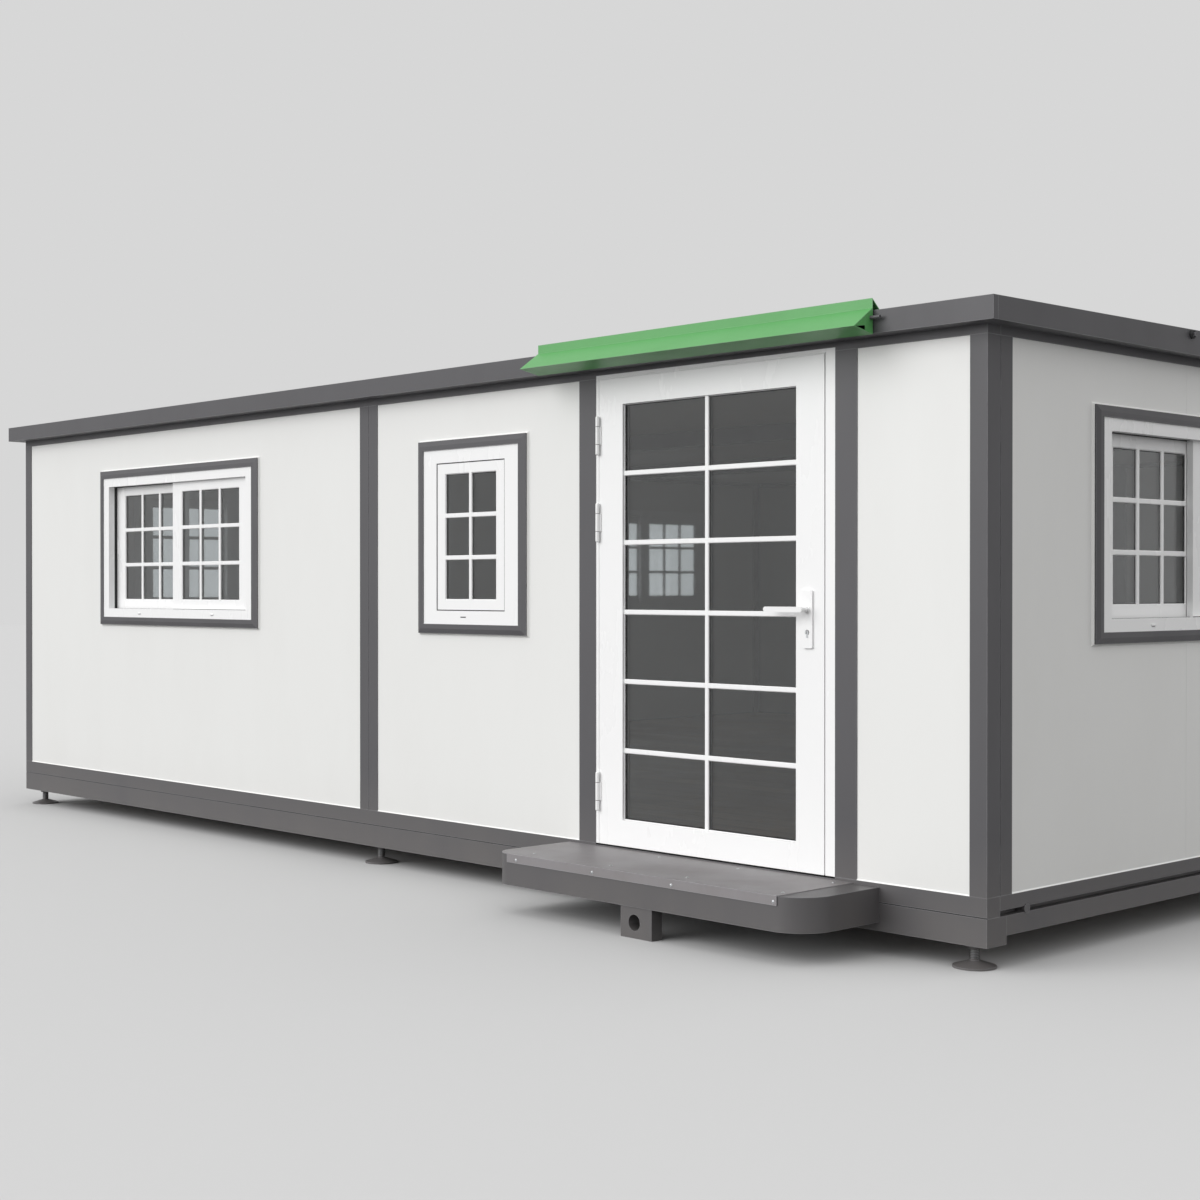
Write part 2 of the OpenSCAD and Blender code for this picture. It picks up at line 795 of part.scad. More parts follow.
// The end channels grow deeper from the eaves to the core, and each wing's has a lug near its top edge.
module end_fascias() {
    edge = house_d / 2 + overhang - fascia_t;
    color(steel_colour) for (wall = ["left", "right"]) on_wall(wall) {
        translate([0, fascia_t - overhang, 0]) rotate([90, 0, 0])
            linear_extrude(height = fascia_t) polygon([
                [-edge, ceiling_z], [-core_edge, ceiling_z - roof_rise], [core_edge, ceiling_z - roof_rise],
                [edge, ceiling_z], [edge, eave_top], [core_edge, core_roof_top], [-core_edge, core_roof_top],
                [-edge, eave_top]
            ]);
        mirror_copy([1, 0, 0]) translate([house_d / 2 - lug_offset, -overhang - lug_l, eave_top - lug_drop])
            cube([lug_w, lug_l + 1, lug_w]);
    }
}

// ---- Awning

function left_of(a, b) = [a[1] - b[1], b[0] - a[0]] / norm(b - a);

// How far a corner of a path moves when both of its sides move one unit to the left.
function mitre(path, i) = let (
        last = len(path) - 1,
        before = left_of(path[max(i, 1) - 1], path[max(i, 1)]),
        after = left_of(path[min(i, last - 1)], path[min(i, last - 1) + 1])
    ) (before + after) / (1 + before * after);

// A sheet of thickness t, bent along a path of its outer face.
module bent_sheet(path, t) {
    polygon(concat(path, [for (i = [len(path) - 1:-1:0]) path[i] + t * mitre(path, i)]));
}

// The plate that closes the hollow behind the sheet, at each end, up to the open nose.
module awning_end_plate() {
    intersection() {
        polygon(awning_path);
        translate([awning_back - end_plate_w, 0]) square([end_plate_w, awning_top]);
    }
}

module awning() {
    color(awning_colour) on_wall("front") translate([awning_x, 0, 0]) {
        along_x(-awning_l / 2, awning_l / 2) bent_sheet(awning_path, awning_sheet_t);
        mirror_copy([1, 0, 0]) along_x(awning_l / 2 - awning_sheet_t, awning_l / 2) awning_end_plate();
    }
}

// Brackets under the awning's leg, and the pins of its end plates.
module awning_brackets() {
    foot = awning_top - bracket_drop - bracket_h;
    color(steel_colour) on_wall("front") {
        for (x = awning_bracket_x) translate([x - bracket_w / 2, awning_back, foot])
            cube([bracket_w, -overhang - awning_back, bracket_h]);
        translate([awning_x, awning_back - end_pin_setback, awning_fold - end_pin_drop])
            mirror_copy([1, 0, 0]) translate([awning_l / 2, 0, 0]) rotate([0, 90, 0])
                cylinder(r = end_pin_r, h = end_pin_l);
    }
}

// ---- Step

// The platform in plan, its front corners rounded.
module step_outline(inset) {
    front = inset - step_d;
    left = step_left + inset;
    right = step_right - inset;
    left_r = step_left_r - inset;
    right_r = step_corner_r - inset;
    difference() {
        translate([left, front]) square([right - left, -front]);
        translate([left, front]) square(2 * left_r, center = true);
        translate([right, front]) square(2 * right_r, center = true);
    }
    translate([left + left_r, front + left_r]) circle(r = left_r);
    translate([right - right_r, front + right_r]) circle(r = right_r, $fn = 96);
}

module step_frame() {
    color(steel_colour) on_wall("front") difference() {
        translate([0, 0, step_foot]) linear_extrude(height = step_side_h) step_outline(0);
        translate([0, 0, step_foot - 1]) linear_extrude(height = step_side_h - step_sheet_t + 1)
            difference() {
                step_outline(step_sheet_t);
                translate([step_left, -step_sheet_t]) square([step_l, 2 * step_sheet_t]);
            }
    }
}

// The tread plate lies on the frame and folds down over its front edge.
module step_tread() {
    color(steel_colour) on_wall("front") {
        translate([0, 0, step_top - tread_t]) linear_extrude(height = tread_t) intersection() {
            step_outline(0);
            translate([step_left, -step_d]) square([tread_l, step_d]);
        }
        translate([step_left + step_left_r, -step_d - tread_t, step_top - tread_lip_h])
            cube([tread_l - step_left_r, tread_t, tread_lip_h]);
    }
}

// A leg under the platform, from the ground to the underside of its top sheet.
module step_block() {
    top = step_foot + step_side_h - step_sheet_t;
    color(steel_colour) on_wall("front") translate([block_x, block_setback - step_d, 0]) difference() {
        cube([block_w, block_d, top]);
        translate([block_w / 2 - block_hole_shift, -1, step_foot / 2]) rotate([-90, 0, 0])
            cylinder(r = block_hole_r, h = block_d + 2);
    }
}

module place() {
    translate([0, centre_shift, 0]) children();
}

place() base_long_beams();
place() base_end_beams();
place() base_core_beams();
place() jack_feet();
place() core_floor();
place() wing_floors();
place() long_sills();
place() end_sills();
place() corner_posts();
place() wall_posts();
place() core_columns();
place() long_top_rails();
place() end_top_rails();
place() core_top_beams();
place() front_wall_wide();
place() front_wall_middle();
place() front_wall_narrow();
place() back_walls();
place() right_wing_walls();
place() left_wing_walls();
place() core_end_walls();
place() window_trims();
place() window_frames();
place() sliding_sashes();
place() casement_sash();
place() window_glass();
place() door_jambs();
place() door_head_and_threshold();
place() frame_hinges();
place() door_leaf();
place() door_glass();
place() leaf_hinges();
place() door_plates();
place() door_levers();
place() core_roof();
place() wing_roofs();
place() roof_flashings();
place() eave_fascias();
place() end_fascias();
place() awning();
place() awning_brackets();
place() step_frame();
place() step_tread();
place() step_block();
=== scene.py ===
"""Looks of an expandable prefab house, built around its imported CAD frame.

The walls are white sandwich panels in dark steel trims, on a steel base with jack feet. The script
dresses the CAD nodes with painted, plastic, glass and timber finishes, and adds what the solids leave
out: window bars, glazing seals, screws, threads, sealant, roof seams and the ceiling's lining.
Lengths are in metres and angles in degrees.
"""

from __future__ import annotations

import json
import logging
import math
from dataclasses import dataclass, field
from enum import Enum

import bmesh
import bpy
import numpy as np
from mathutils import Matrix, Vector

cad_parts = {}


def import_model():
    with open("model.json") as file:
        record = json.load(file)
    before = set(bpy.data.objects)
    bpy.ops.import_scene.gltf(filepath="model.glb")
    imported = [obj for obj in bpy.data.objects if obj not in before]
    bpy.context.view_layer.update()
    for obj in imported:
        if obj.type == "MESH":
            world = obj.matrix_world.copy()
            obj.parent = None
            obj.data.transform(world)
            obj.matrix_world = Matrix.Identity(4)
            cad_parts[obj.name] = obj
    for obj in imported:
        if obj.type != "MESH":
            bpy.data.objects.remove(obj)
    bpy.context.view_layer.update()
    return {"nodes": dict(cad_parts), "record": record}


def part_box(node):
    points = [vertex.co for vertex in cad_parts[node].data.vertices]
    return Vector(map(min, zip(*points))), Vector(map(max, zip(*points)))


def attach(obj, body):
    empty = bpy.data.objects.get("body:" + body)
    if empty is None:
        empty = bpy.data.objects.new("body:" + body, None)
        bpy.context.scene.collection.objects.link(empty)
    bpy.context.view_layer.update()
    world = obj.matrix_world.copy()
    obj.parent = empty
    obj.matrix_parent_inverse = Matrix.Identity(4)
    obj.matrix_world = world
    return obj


LOG = logging.getLogger("prefab_house")
Array = np.ndarray
Box = tuple[np.ndarray, np.ndarray]
Colour = tuple[float, float, float, float]
Material = bpy.types.Material
Node = bpy.types.Node
Object = bpy.types.Object
Socket = bpy.types.NodeSocket
Tree = bpy.types.NodeTree

ACROSS = np.array([1.0, 0.0, 0.0])
INWARDS = np.array([0.0, 1.0, 0.0])
UP = np.array([0.0, 0.0, 1.0])
MERGE = 1e-6
DEGENERATE = MERGE / 10.0
WELD = 1e-5
TIP = 1e-5
STEEP = 0.9
SMOOTH_UNDER = 35.0


class Body(str, Enum):
    """The CAD bodies that pieces ride on."""

    HOUSE = "house"
    DOOR = "front_door"


class Slot(str, Enum):
    """The record's material slots. The name in small letters is also the key of the slot's finish."""

    STEEL = "dark_steel"
    PANEL = "white_panel"
    PLASTIC = "white_plastic"
    GLASS = "window_glass"
    LEVER = "lever_metal"
    FLOOR = "floor_board"
    ROOF = "roof_sheet"
    AWNING = "green_sheet"


def linear(red: float, green: float, blue: float) -> Colour:
    """Turn display values of 0 to 255 into a linear colour with alpha 1.

    Each is c / 12.92 at the foot of the display's curve, and ((c + 0.055) / 1.055) ^ 2.4 above it.
    """
    share = np.array([red, green, blue]) / 255.0
    value = np.where(share <= 0.04045, share / 12.92, ((share + 0.055) / 1.055) ** 2.4)
    return (float(value[0]), float(value[1]), float(value[2]), 1.0)


# ---- Surfaces


@dataclass
class Shape:
    """Points and faces of one closed surface."""

    points: Array
    faces: list[list[int]]


def tube(grid: Array, looped: bool = False) -> Shape:
    """Join the rows of a grid, each of them a closed outline, into four-sided faces.

    Args:
        grid: Points, rows by columns by 3.
        looped: Whether the last row joins the first. If not, a face closes each end.

    Returns:
        The surface. The face at (i, j) takes the points (i, j), (i, j+1), (i+1, j+1), (i+1, j).
    """
    rows, columns = grid.shape[:2]
    i, j = np.meshgrid(np.arange(rows if looped else rows - 1), np.arange(columns), indexing="ij")
    below, right = (i + 1) % rows, (j + 1) % columns
    sides = [i * columns + j, i * columns + right, below * columns + right, below * columns + j]
    faces = np.stack(sides, axis=-1).reshape(-1, 4).tolist()
    if not looped:
        last = (rows - 1) * columns
        faces.append(list(range(columns - 1, -1, -1)))
        faces.append(list(range(last, last + columns)))
    return Shape(grid.reshape(-1, 3), faces)


def carried(profile: Array, origin: Array, across: Array, up: Array, along: Array) -> Shape:
    """Carry a closed profile of points (a, b) in a straight line.

    Returns:
        The bar: origin + a * across + b * up + t * along, for t from 0 to 1.
    """
    start = origin + profile[:, :1] * across + profile[:, 1:] * up
    return tube(np.stack([start, start + along]))


def turned(profile: Array, origin: Array, axis: Array, segments: int = 24, looped: bool = False) -> Shape:
    """Turn a profile of points (r, h) about an axis.

    Args:
        profile: The profile, from one end to the other.
        origin: The axis' foot.
        axis: Unit direction of the axis.
        segments: Faces round the axis.
        looped: Whether the profile is closed and stays off the axis, so that it makes a ring.

    Returns:
        The turned surface: origin + h * axis + r * (cos v * e1 + sin v * e2).
    """
    first = np.cross(axis, UP if abs(axis[2]) < STEEP else ACROSS)
    first /= np.linalg.norm(first)
    second = np.cross(axis, first)
    angle = np.linspace(0.0, 2.0 * math.pi, segments, endpoint=False)
    ring = np.cos(angle)[:, None] * first + np.sin(angle)[:, None] * second
    return tube(origin + profile[:, None, 1:] * axis + profile[:, None, :1] * ring[None], looped)


def helix(origin: Array, radius: float, depth: float, pitch: float, height: float) -> Shape:
    """Wind a screw thread upwards about an axis through the origin given.

    Returns:
        A triangle carried up a helix: radius r(q) at angle v and height pitch * v / 2 pi + offset(q).
    """
    steps, foot_share, sunk = 16, 0.9, 0.4
    turns = max(1, int(height / pitch) - 1)
    angle = np.linspace(0.0, 2.0 * math.pi * turns, turns * steps + 1)
    offset = np.array([0.0, 0.5, 1.0]) * pitch * foot_share
    reach = radius + np.array([-sunk, 1.0, -sunk]) * depth
    rise = pitch * angle[:, None] / (2.0 * math.pi) + offset[None]
    grid = np.stack([np.cos(angle)[:, None] * reach, np.sin(angle)[:, None] * reach, rise], axis=-1)
    return tube(grid + origin)


def rectangle(width: float, height: float) -> Array:
    """Give a centred rectangle's corners in order."""
    a, b = width / 2.0, height / 2.0
    return np.array([[-a, -b], [a, -b], [a, b], [-a, b]])


def bar_profile(width: float, depth: float, chamfer: float) -> Array:
    """Give a bar's section: flat on its bed, and chamfered in front."""
    a, b = width / 2.0, depth - chamfer
    return np.array([[-a, 0.0], [a, 0.0], [a, b], [a - chamfer, depth], [-a + chamfer, depth], [-a, b]])


def dome(radius: float, height: float, rows: int = 5) -> Array:
    """Give a dome's profile: radius * cos t and height * sin t, from its rim to its top."""
    turn = np.linspace(0.0, math.pi / 2.0, rows)
    return np.stack([np.maximum(radius * np.cos(turn), TIP), height * np.sin(turn)], axis=-1)


def screw_head(radius: float, height: float) -> Array:
    """Give a round screw head's profile, with a washer under it and a socket sunk in its top."""
    shell = np.array([[1.35, 0.0], [1.35, 0.16], [1.0, 0.2], [0.95, 0.6], [0.7, 0.92], [0.42, 1.0]])
    socket = np.array([[0.36, 0.9], [0.34, 0.35], [0.001, 0.3]])
    return np.concatenate([shell, socket]) * np.array([radius, height])


@dataclass
class Flat:
    """A flat solid in a wall, with its own directions.

    Attributes:
        middle: Its middle.
        along: Unit direction along the wall.
        out: Unit direction out of the house.
        half_w: Half its width along the wall.
        half_h: Half its height.
        half_t: Half its thickness.
    """

    middle: Array
    along: Array
    out: Array
    half_w: float
    half_h: float
    half_t: float

    def at(self, a: float, b: float, outwards: float) -> Array:
        """Give the point a along, b up and so far outwards from the middle."""
        return self.middle + a * self.along + b * UP + outwards * self.out

    def ring(self, profile: Array, side: float) -> Shape:
        """Carry a profile round the solid's edge, mitred at the corners.

        Args:
            profile: Points (g, d): g outwards from the solid's edge in the wall, d from its face.
            side: 1 for the outer face, -1 for the inner face.

        Returns:
            The ring. At the corner with signs (s, t) it is at (s * (half_w + g), t * (half_h + g)).
        """
        sign = np.array([[-1, -1], [1, -1], [1, 1], [-1, 1]], float)
        g, d = profile[None, :, 0], profile[None, :, 1]
        a = (sign[:, :1] * (self.half_w + g))[..., None]
        b = (sign[:, 1:] * (self.half_h + g))[..., None]
        away = (side * (self.half_t + d))[..., None]
        return tube(self.middle + a * self.along + b * UP + away * self.out, True)

    def upright(self, profile: Array, a: float, low: float, high: float, side: float) -> Shape:
        """Stand a bar on a face, from low to high, its profile (a, d) drawn along and outwards."""
        origin = self.at(a, low, side * self.half_t)
        return carried(profile, origin, self.along, side * self.out, (high - low) * UP)

    def level(self, profile: Array, b: float, left: float, right: float, side: float) -> Shape:
        """Lay a level bar on a face, from left to right, its profile (b, d) drawn up and outwards."""
        origin = self.at(left, b, side * self.half_t)
        return carried(profile, origin, UP, side * self.out, (right - left) * self.along)


def solid_boxes(node: Object) -> list[Box]:
    """Find the box of each separate solid of a CAD node, in order of place.

    Points in one place are merged. Each point then takes the lowest label that it shares a triangle
    with, and the labels are followed until none changes.
    """
    mesh = node.data
    points = np.empty(len(mesh.vertices) * 3)
    mesh.vertices.foreach_get("co", points)
    points = points.reshape(-1, 3)
    corner = np.empty(len(mesh.loops), int)
    mesh.loops.foreach_get("vertex_index", corner)
    _, first, merged = np.unique(np.round(points / WELD), axis=0, return_index=True, return_inverse=True)
    triangles = merged.reshape(-1)[corner].reshape(-1, 3)
    labels = np.arange(len(first))
    while True:
        lowest = labels[triangles].min(axis=1)
        following = labels.copy()
        np.minimum.at(following, triangles, np.repeat(lowest[:, None], 3, axis=1))
        following = following[following]
        if np.array_equal(following, labels):
            break
        labels = following
    places = points[first]
    found = [(places[labels == k].min(axis=0), places[labels == k].max(axis=0)) for k in np.unique(labels)]
    return sorted(found, key=lambda pair: tuple(np.round(pair[0], 4)))


def flat_from(box: Box, middle: Array) -> Flat:
    """Read a flat wall solid from its box, its thin direction turned away from the house's middle."""
    low, high = box
    half = (high - low) / 2.0
    centre = (low + high) / 2.0
    thin = int(np.argmin(half[:2]))
    out = np.zeros(3)
    out[thin] = 1.0 if centre[thin] > middle[thin] else -1.0
    return Flat(centre, np.cross(UP, out), out, float(half[1 - thin]), float(half[2]), float(half[thin]))


@dataclass
class Piece:
    """One new piece of the house, collected from closed shapes, and the body that it rides on."""

    name: str
    body: Body
    slot: Slot
    finish: Material
    smooth: bool
    shapes: list[Shape] = field(default_factory=list)

    def add(self, *shapes: Shape) -> None:
        """Collect closed shapes."""
        self.shapes.extend(shapes)

    def make(self) -> None:
        """Join the shapes into one mesh at the origin, faces outwards, that rides on its body."""
        starts = np.cumsum([0] + [len(s.points) for s in self.shapes])
        faces: list[list[int]] = []
        for start, shape in zip(starts, self.shapes):
            faces.extend([[k + int(start) for k in face] for face in shape.faces])
        mesh = bpy.data.meshes.new(self.name)
        mesh.from_pydata(np.concatenate([s.points for s in self.shapes]).tolist(), [], faces)
        work = bmesh.new()
        work.from_mesh(mesh)
        bmesh.ops.remove_doubles(work, verts=work.verts, dist=MERGE)
        bmesh.ops.dissolve_degenerate(work, edges=work.edges, dist=DEGENERATE)
        bmesh.ops.recalc_face_normals(work, faces=work.faces)
        work.to_mesh(mesh)
        work.free()
        if self.smooth:
            mesh.shade_smooth()
            mesh.set_sharp_from_angle(angle=math.radians(SMOOTH_UNDER))
        mesh.materials.append(self.finish)
        thing = bpy.data.objects.new(self.name, mesh)
        bpy.context.scene.collection.objects.link(thing)
        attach(thing, self.body.value)
        LOG.info("piece %s: %d faces on %s", self.name, len(mesh.polygons), self.body.value)


# ---- Finishes

SOILED: Colour = (0.55, 0.53, 0.50, 1.0)
DUSTY: Colour = (0.42, 0.38, 0.33, 1.0)
# The light grey below is a painted highlight, mixed in along edges within the radius below.
EDGE_HIGHLIGHT: Colour = (0.42, 0.42, 0.44, 1.0)
DUST_TOP = 0.5
EDGE_HIGHLIGHT_RADIUS = 0.004


class Graph:
    """A small helper that adds, fills and joins shader nodes."""

    def __init__(self, tree: Tree) -> None:
        """Keep the tree that nodes go into."""
        self.tree = tree

    def fill(self, sockets: dict, values: dict) -> None:
        """Give sockets their values: a constant, or another node's output that is joined to it."""
        for key, value in values.items():
            if isinstance(value, Socket):
                self.tree.links.new(value, sockets[key])
            else:
                sockets[key].default_value = value

    def add(self, kind: str, values: dict | None = None, **settings: object) -> Node:
        """Add a node.

        Args:
            kind: The node's type name, without its ShaderNode prefix.
            values: What goes into its sockets, by socket name or number.
            **settings: Properties of the node itself.

        Returns:
            The new node.
        """
        node = self.tree.nodes.new("ShaderNode" + kind)
        for key, value in settings.items():
            setattr(node, key, value)
        self.fill(node.inputs, values or {})
        return node

    def place(self, scale: tuple[float, float, float] | None = None) -> Socket:
        """Give the place on the object, scaled by axis where a pattern is to be drawn out."""
        place = self.add("TexCoord").outputs["Object"]
        if scale is None:
            return place
        return self.add("Mapping", {"Vector": place, "Scale": scale}).outputs["Vector"]

    def math(self, operation: str, first: object, second: object, **settings: object) -> Socket:
        """Combine two values."""
        node = self.add("Math", {0: first, 1: second}, operation=operation, **settings)
        return node.outputs["Value"]

    def ranged(
        self, source: Socket, low: float, high: float, at_low: float = 0.0, at_high: float = 1.0
    ) -> Socket:
        """Map a value from low..high to at_low..at_high, clamped."""
        values = {"Value": source, "From Min": low, "From Max": high, "To Min": at_low, "To Max": at_high}
        return self.add("MapRange", values).outputs["Result"]

    def noise(self, place: Socket, scale: float, detail: float) -> Socket:
        """Give noise of a scale in features per metre."""
        values = {"Vector": place, "Scale": scale, "Detail": detail, "Roughness": 0.6}
        return self.add("TexNoise", values).outputs["Fac"]

    def mix(self, factor: object, start: object, end: object, blend: str = "MIX") -> Socket:
        """Mix two colours by a factor."""
        values = {"Factor": factor, "A": start, "B": end}
        return self.add("Mix", values, data_type="RGBA", blend_type=blend).outputs["Result"]


def new_group(name: str, values: tuple[str, ...], outputs: tuple[str, ...]) -> tuple[Graph, dict, dict]:
    """Start a shader node group that takes a colour and values, and gives a colour and values.

    Args:
        name: The group's name.
        values: Names of its value inputs, beside Color.
        outputs: Names of its value outputs, beside Color.

    Returns:
        The group's graph, its inputs by name and its outputs by name.
    """
    tree = bpy.data.node_groups.new(name, "ShaderNodeTree")
    for way, names in (("INPUT", values), ("OUTPUT", outputs)):
        tree.interface.new_socket("Color", in_out=way, socket_type="NodeSocketColor")
        for socket in names:
            tree.interface.new_socket(socket, in_out=way, socket_type="NodeSocketFloat")
    given = tree.nodes.new("NodeGroupInput")
    result = tree.nodes.new("NodeGroupOutput")
    return Graph(tree), given.outputs, result.inputs


def new_material(name: str) -> tuple[Material, Graph, Node]:
    """Start a material, and give it with its graph and its Principled shader."""
    material = bpy.data.materials.new(name)
    material.use_nodes = True
    return material, Graph(material.node_tree), material.node_tree.nodes["Principled BSDF"]


def weather_group() -> Tree:
    """Build the shared effect of handling and weather on a surface.

    Broad noise, drawn out downwards, darkens the colour by Soiling and varies the roughness. Dust
    gathers near the ground by Dust. A fine noise gives the height of the grain.

    Returns:
        The group: Color, Soiling, Dust and Roughness in; Color, Roughness and Height out.
    """
    g, given, result = new_group("weather", ("Soiling", "Dust", "Roughness"), ("Roughness", "Height"))
    place = g.place()
    broad = g.noise(g.place((1.0, 1.0, 0.35)), scale=3.0, detail=5.0)
    height = g.add("SeparateXYZ", {"Vector": place}).outputs["Z"]
    soil = g.math("MULTIPLY", g.ranged(broad, 0.42, 0.72), given["Soiling"])
    dust = g.math("MULTIPLY", g.ranged(height, 0.0, DUST_TOP, 1.0, 0.0), given["Dust"])
    darker = g.mix(soil, given["Color"], SOILED, "MULTIPLY")
    varied = g.ranged(broad, 0.3, 0.7, -0.04, 0.05)
    looks = {
        "Color": g.mix(g.math("MULTIPLY", dust, broad), darker, DUSTY),
        "Roughness": g.math("ADD", varied, given["Roughness"], use_clamp=True),
        "Height": g.noise(place, scale=220.0, detail=3.0),
    }
    g.fill(result, looks)
    return g.tree


def edge_highlight_group() -> Tree:
    """Build the shared painted highlight, which lightens the colour along folded edges.

    The dot product of the face's normal and the normal rounded over a few millimetres is below 1 only
    near an edge. That gives the mask, broken up by noise.

    Returns:
        The group: Color and Edge in; Color out.
    """
    g, given, result = new_group("painted edge highlight", ("Edge",), ())
    rounded = g.add("Bevel", {"Radius": EDGE_HIGHLIGHT_RADIUS}, samples=6).outputs["Normal"]
    normals = {0: rounded, 1: g.add("NewGeometry").outputs["Normal"]}
    facing = g.add("VectorMath", normals, operation="DOT_PRODUCT").outputs["Value"]
    spots = g.ranged(g.noise(g.place(), scale=9.0, detail=4.0), 0.35, 0.6, 0.45, 1.0)
    near = g.math("MULTIPLY", g.ranged(facing, 0.995, 0.93), spots)
    # Mix in the light grey near edges: a painted highlight.
    g.fill(result, {"Color": g.mix(g.math("MULTIPLY", near, given["Edge"]), given["Color"], EDGE_HIGHLIGHT)})
    return g.tree


@dataclass
class Groups:
    """The shared node groups."""

    weather: Tree = field(default_factory=weather_group)
    # The edge group paints a highlight along edges.
    edge: Tree = field(default_factory=edge_highlight_group)


@dataclass(frozen=True)
class Finish:
    """A painted, coated or moulded finish.

    Attributes:
        name: The material's name.
        colour: Its base colour.
        roughness: Its middle roughness.
        soiling: How much broad patches darken it.
        dust: How much dust covers its lowest part.
        grain: Height of its fine grain.
        metallic: Whether it is bare metal.
        coat: Weight of a clear coat.
        edge: How strongly its edges are lightened by a painted highlight.
    """

    name: str
    colour: Colour
    roughness: float
    soiling: float = 0.12
    dust: float = 0.0
    grain: float = 0.0001
    metallic: float = 0.0
    coat: float = 0.0
    edge: float = 0.0

    def build(self, groups: Groups) -> Material:
        """Make the material: its pattern, weathered, its edges painted light, under the Principled shader."""
        material, g, shader = new_material(self.name)
        given = {
            "Color": self.colour,
            "Soiling": self.soiling,
            "Dust": self.dust,
            "Roughness": self.roughness,
        }
        effect = g.add("Group", given, node_tree=groups.weather)
        colour = effect.outputs["Color"]
        # Lighten the edges: a painted highlight.
        if self.edge > 0.0:
            highlighted = {"Color": colour, "Edge": self.edge}
            colour = g.add("Group", highlighted, node_tree=groups.edge).outputs["Color"]
        bump = g.add("Bump", {"Height": effect.outputs["Height"], "Strength": 0.6, "Distance": self.grain})
        looks = {
            "Base Color": colour,
            "Roughness": effect.outputs["Roughness"],
            "Normal": bump.outputs["Normal"],
            "Metallic": self.metallic,
            "Coat Weight": self.coat,
            "Coat Roughness": 0.15,
        }
        g.fill(shader.inputs, looks)
        self.pattern(g, effect, bump)
        return material

    def pattern(self, g: Graph, effect: Node, bump: Node) -> None:
        """Add the finish's own pattern, which is none for a plain one."""


@dataclass(frozen=True)
class PanelSkin(Finish):
    """The coated steel skin of a sandwich panel, with the slow waves of thin sheet on foam."""

    wave: float = 0.004

    def pattern(self, g: Graph, effect: Node, bump: Node) -> None:
        """Lay slow waves under the grain."""
        waves = g.noise(g.place(), scale=1.6, detail=1.0)
        under = g.add("Bump", {"Height": waves, "Strength": 0.25, "Distance": self.wave})
        g.fill(bump.inputs, {"Normal": under.outputs["Normal"]})


@dataclass(frozen=True)
class FloorBoards(Finish):
    """Wood-look floor boards laid along the house, from the finish's colour to a darker one."""

    dark: Colour = linear(158, 122, 88)
    gap: Colour = linear(70, 52, 38)
    board_w: float = 0.18
    board_l: float = 1.2

    def pattern(self, g: Graph, effect: Node, bump: Node) -> None:
        """Colour the boards: staggered rows, a grain of stretched noise and dark joints."""
        values = {
            "Vector": g.place(),
            "Scale": 1.0,
            "Color1": self.colour,
            "Color2": self.dark,
            "Mortar": self.gap,
            "Mortar Size": 0.0025,
            "Brick Width": self.board_l,
            "Row Height": self.board_w,
            "Bias": -0.1,
        }
        boards = g.add("TexBrick", values, offset=0.37).outputs["Color"]
        fibres = g.noise(g.place((3.0, 60.0, 60.0)), scale=1.0, detail=6.0)
        shade = g.ranged(fibres, 0.3, 0.7, 0.75, 1.1)
        g.fill(effect.inputs, {"Color": g.mix(1.0, boards, shade, "MULTIPLY")})


@dataclass(frozen=True)
class Glazing:
    """Double glazing with a grey tint, smooth and fully transmitting."""

    name: str
    colour: Colour

    def build(self, groups: Groups) -> Material:
        """Make the glass, which takes no part of the weather."""
        material, g, shader = new_material(self.name)
        looks = {"Base Color": self.colour, "Roughness": 0.02, "IOR": 1.7, "Transmission Weight": 1.0}
        g.fill(shader.inputs, looks)
        return material


def build_finishes() -> dict[str, Material]:
    """Make all finishes of the house once."""
    finishes = {
        # edge sets the strength of the painted highlight along edges.
        "steel": Finish("steel paint", linear(79, 78, 81), 0.46, soiling=0.15, dust=0.25, edge=0.35),
        # The tread is the steel paint made lighter: painted light on the step's sky-lit top.
        "tread": Finish("tread steel paint, painted lighter", linear(134, 131, 134), 0.5, soiling=0.4, dust=0.3, edge=0.6),
        "roof": Finish("roof sheet", linear(98, 97, 100), 0.46, soiling=0.2, edge=0.3),
        "panel": PanelSkin("panel skin", linear(233, 233, 231), 0.38, soiling=0.04, dust=0.12),
        "plastic": Finish("window profile", linear(246, 246, 246), 0.26, soiling=0.02, dust=0.05, grain=0.0),
        "lever": Finish("lever coating", linear(243, 243, 243), 0.22, soiling=0.02, grain=0.0, coat=0.3),
        # Real rubber on the seals; painted shade in tracks, sash lines, grooves, keyways and drain slots.
        "rubber": Finish("dark rubber and painted shade", linear(34, 34, 36), 0.6, soiling=0.1),
        "zinc": Finish("zinc plating", linear(196, 198, 200), 0.3, soiling=0.2, metallic=1.0),
        "sealant": Finish("sealant", linear(244, 244, 242), 0.5, soiling=0.05),
        "putty": Finish("grey sealant", linear(132, 131, 133), 0.6, soiling=0.3),
        "awning": Finish("green sheet", linear(92, 163, 94), 0.42, soiling=0.1, edge=0.25),
        "floor": FloorBoards("floor boards", linear(186, 150, 112), 0.4, soiling=0.06),
        "lining": Finish("ceiling lining", linear(232, 232, 230), 0.5, soiling=0.03),
        "glass": Glazing("double glazing", (0.70, 0.73, 0.74, 1.0)),
    }
    groups = Groups()
    return {key: finish.build(groups) for key, finish in finishes.items()}


# ---- Parts of the house


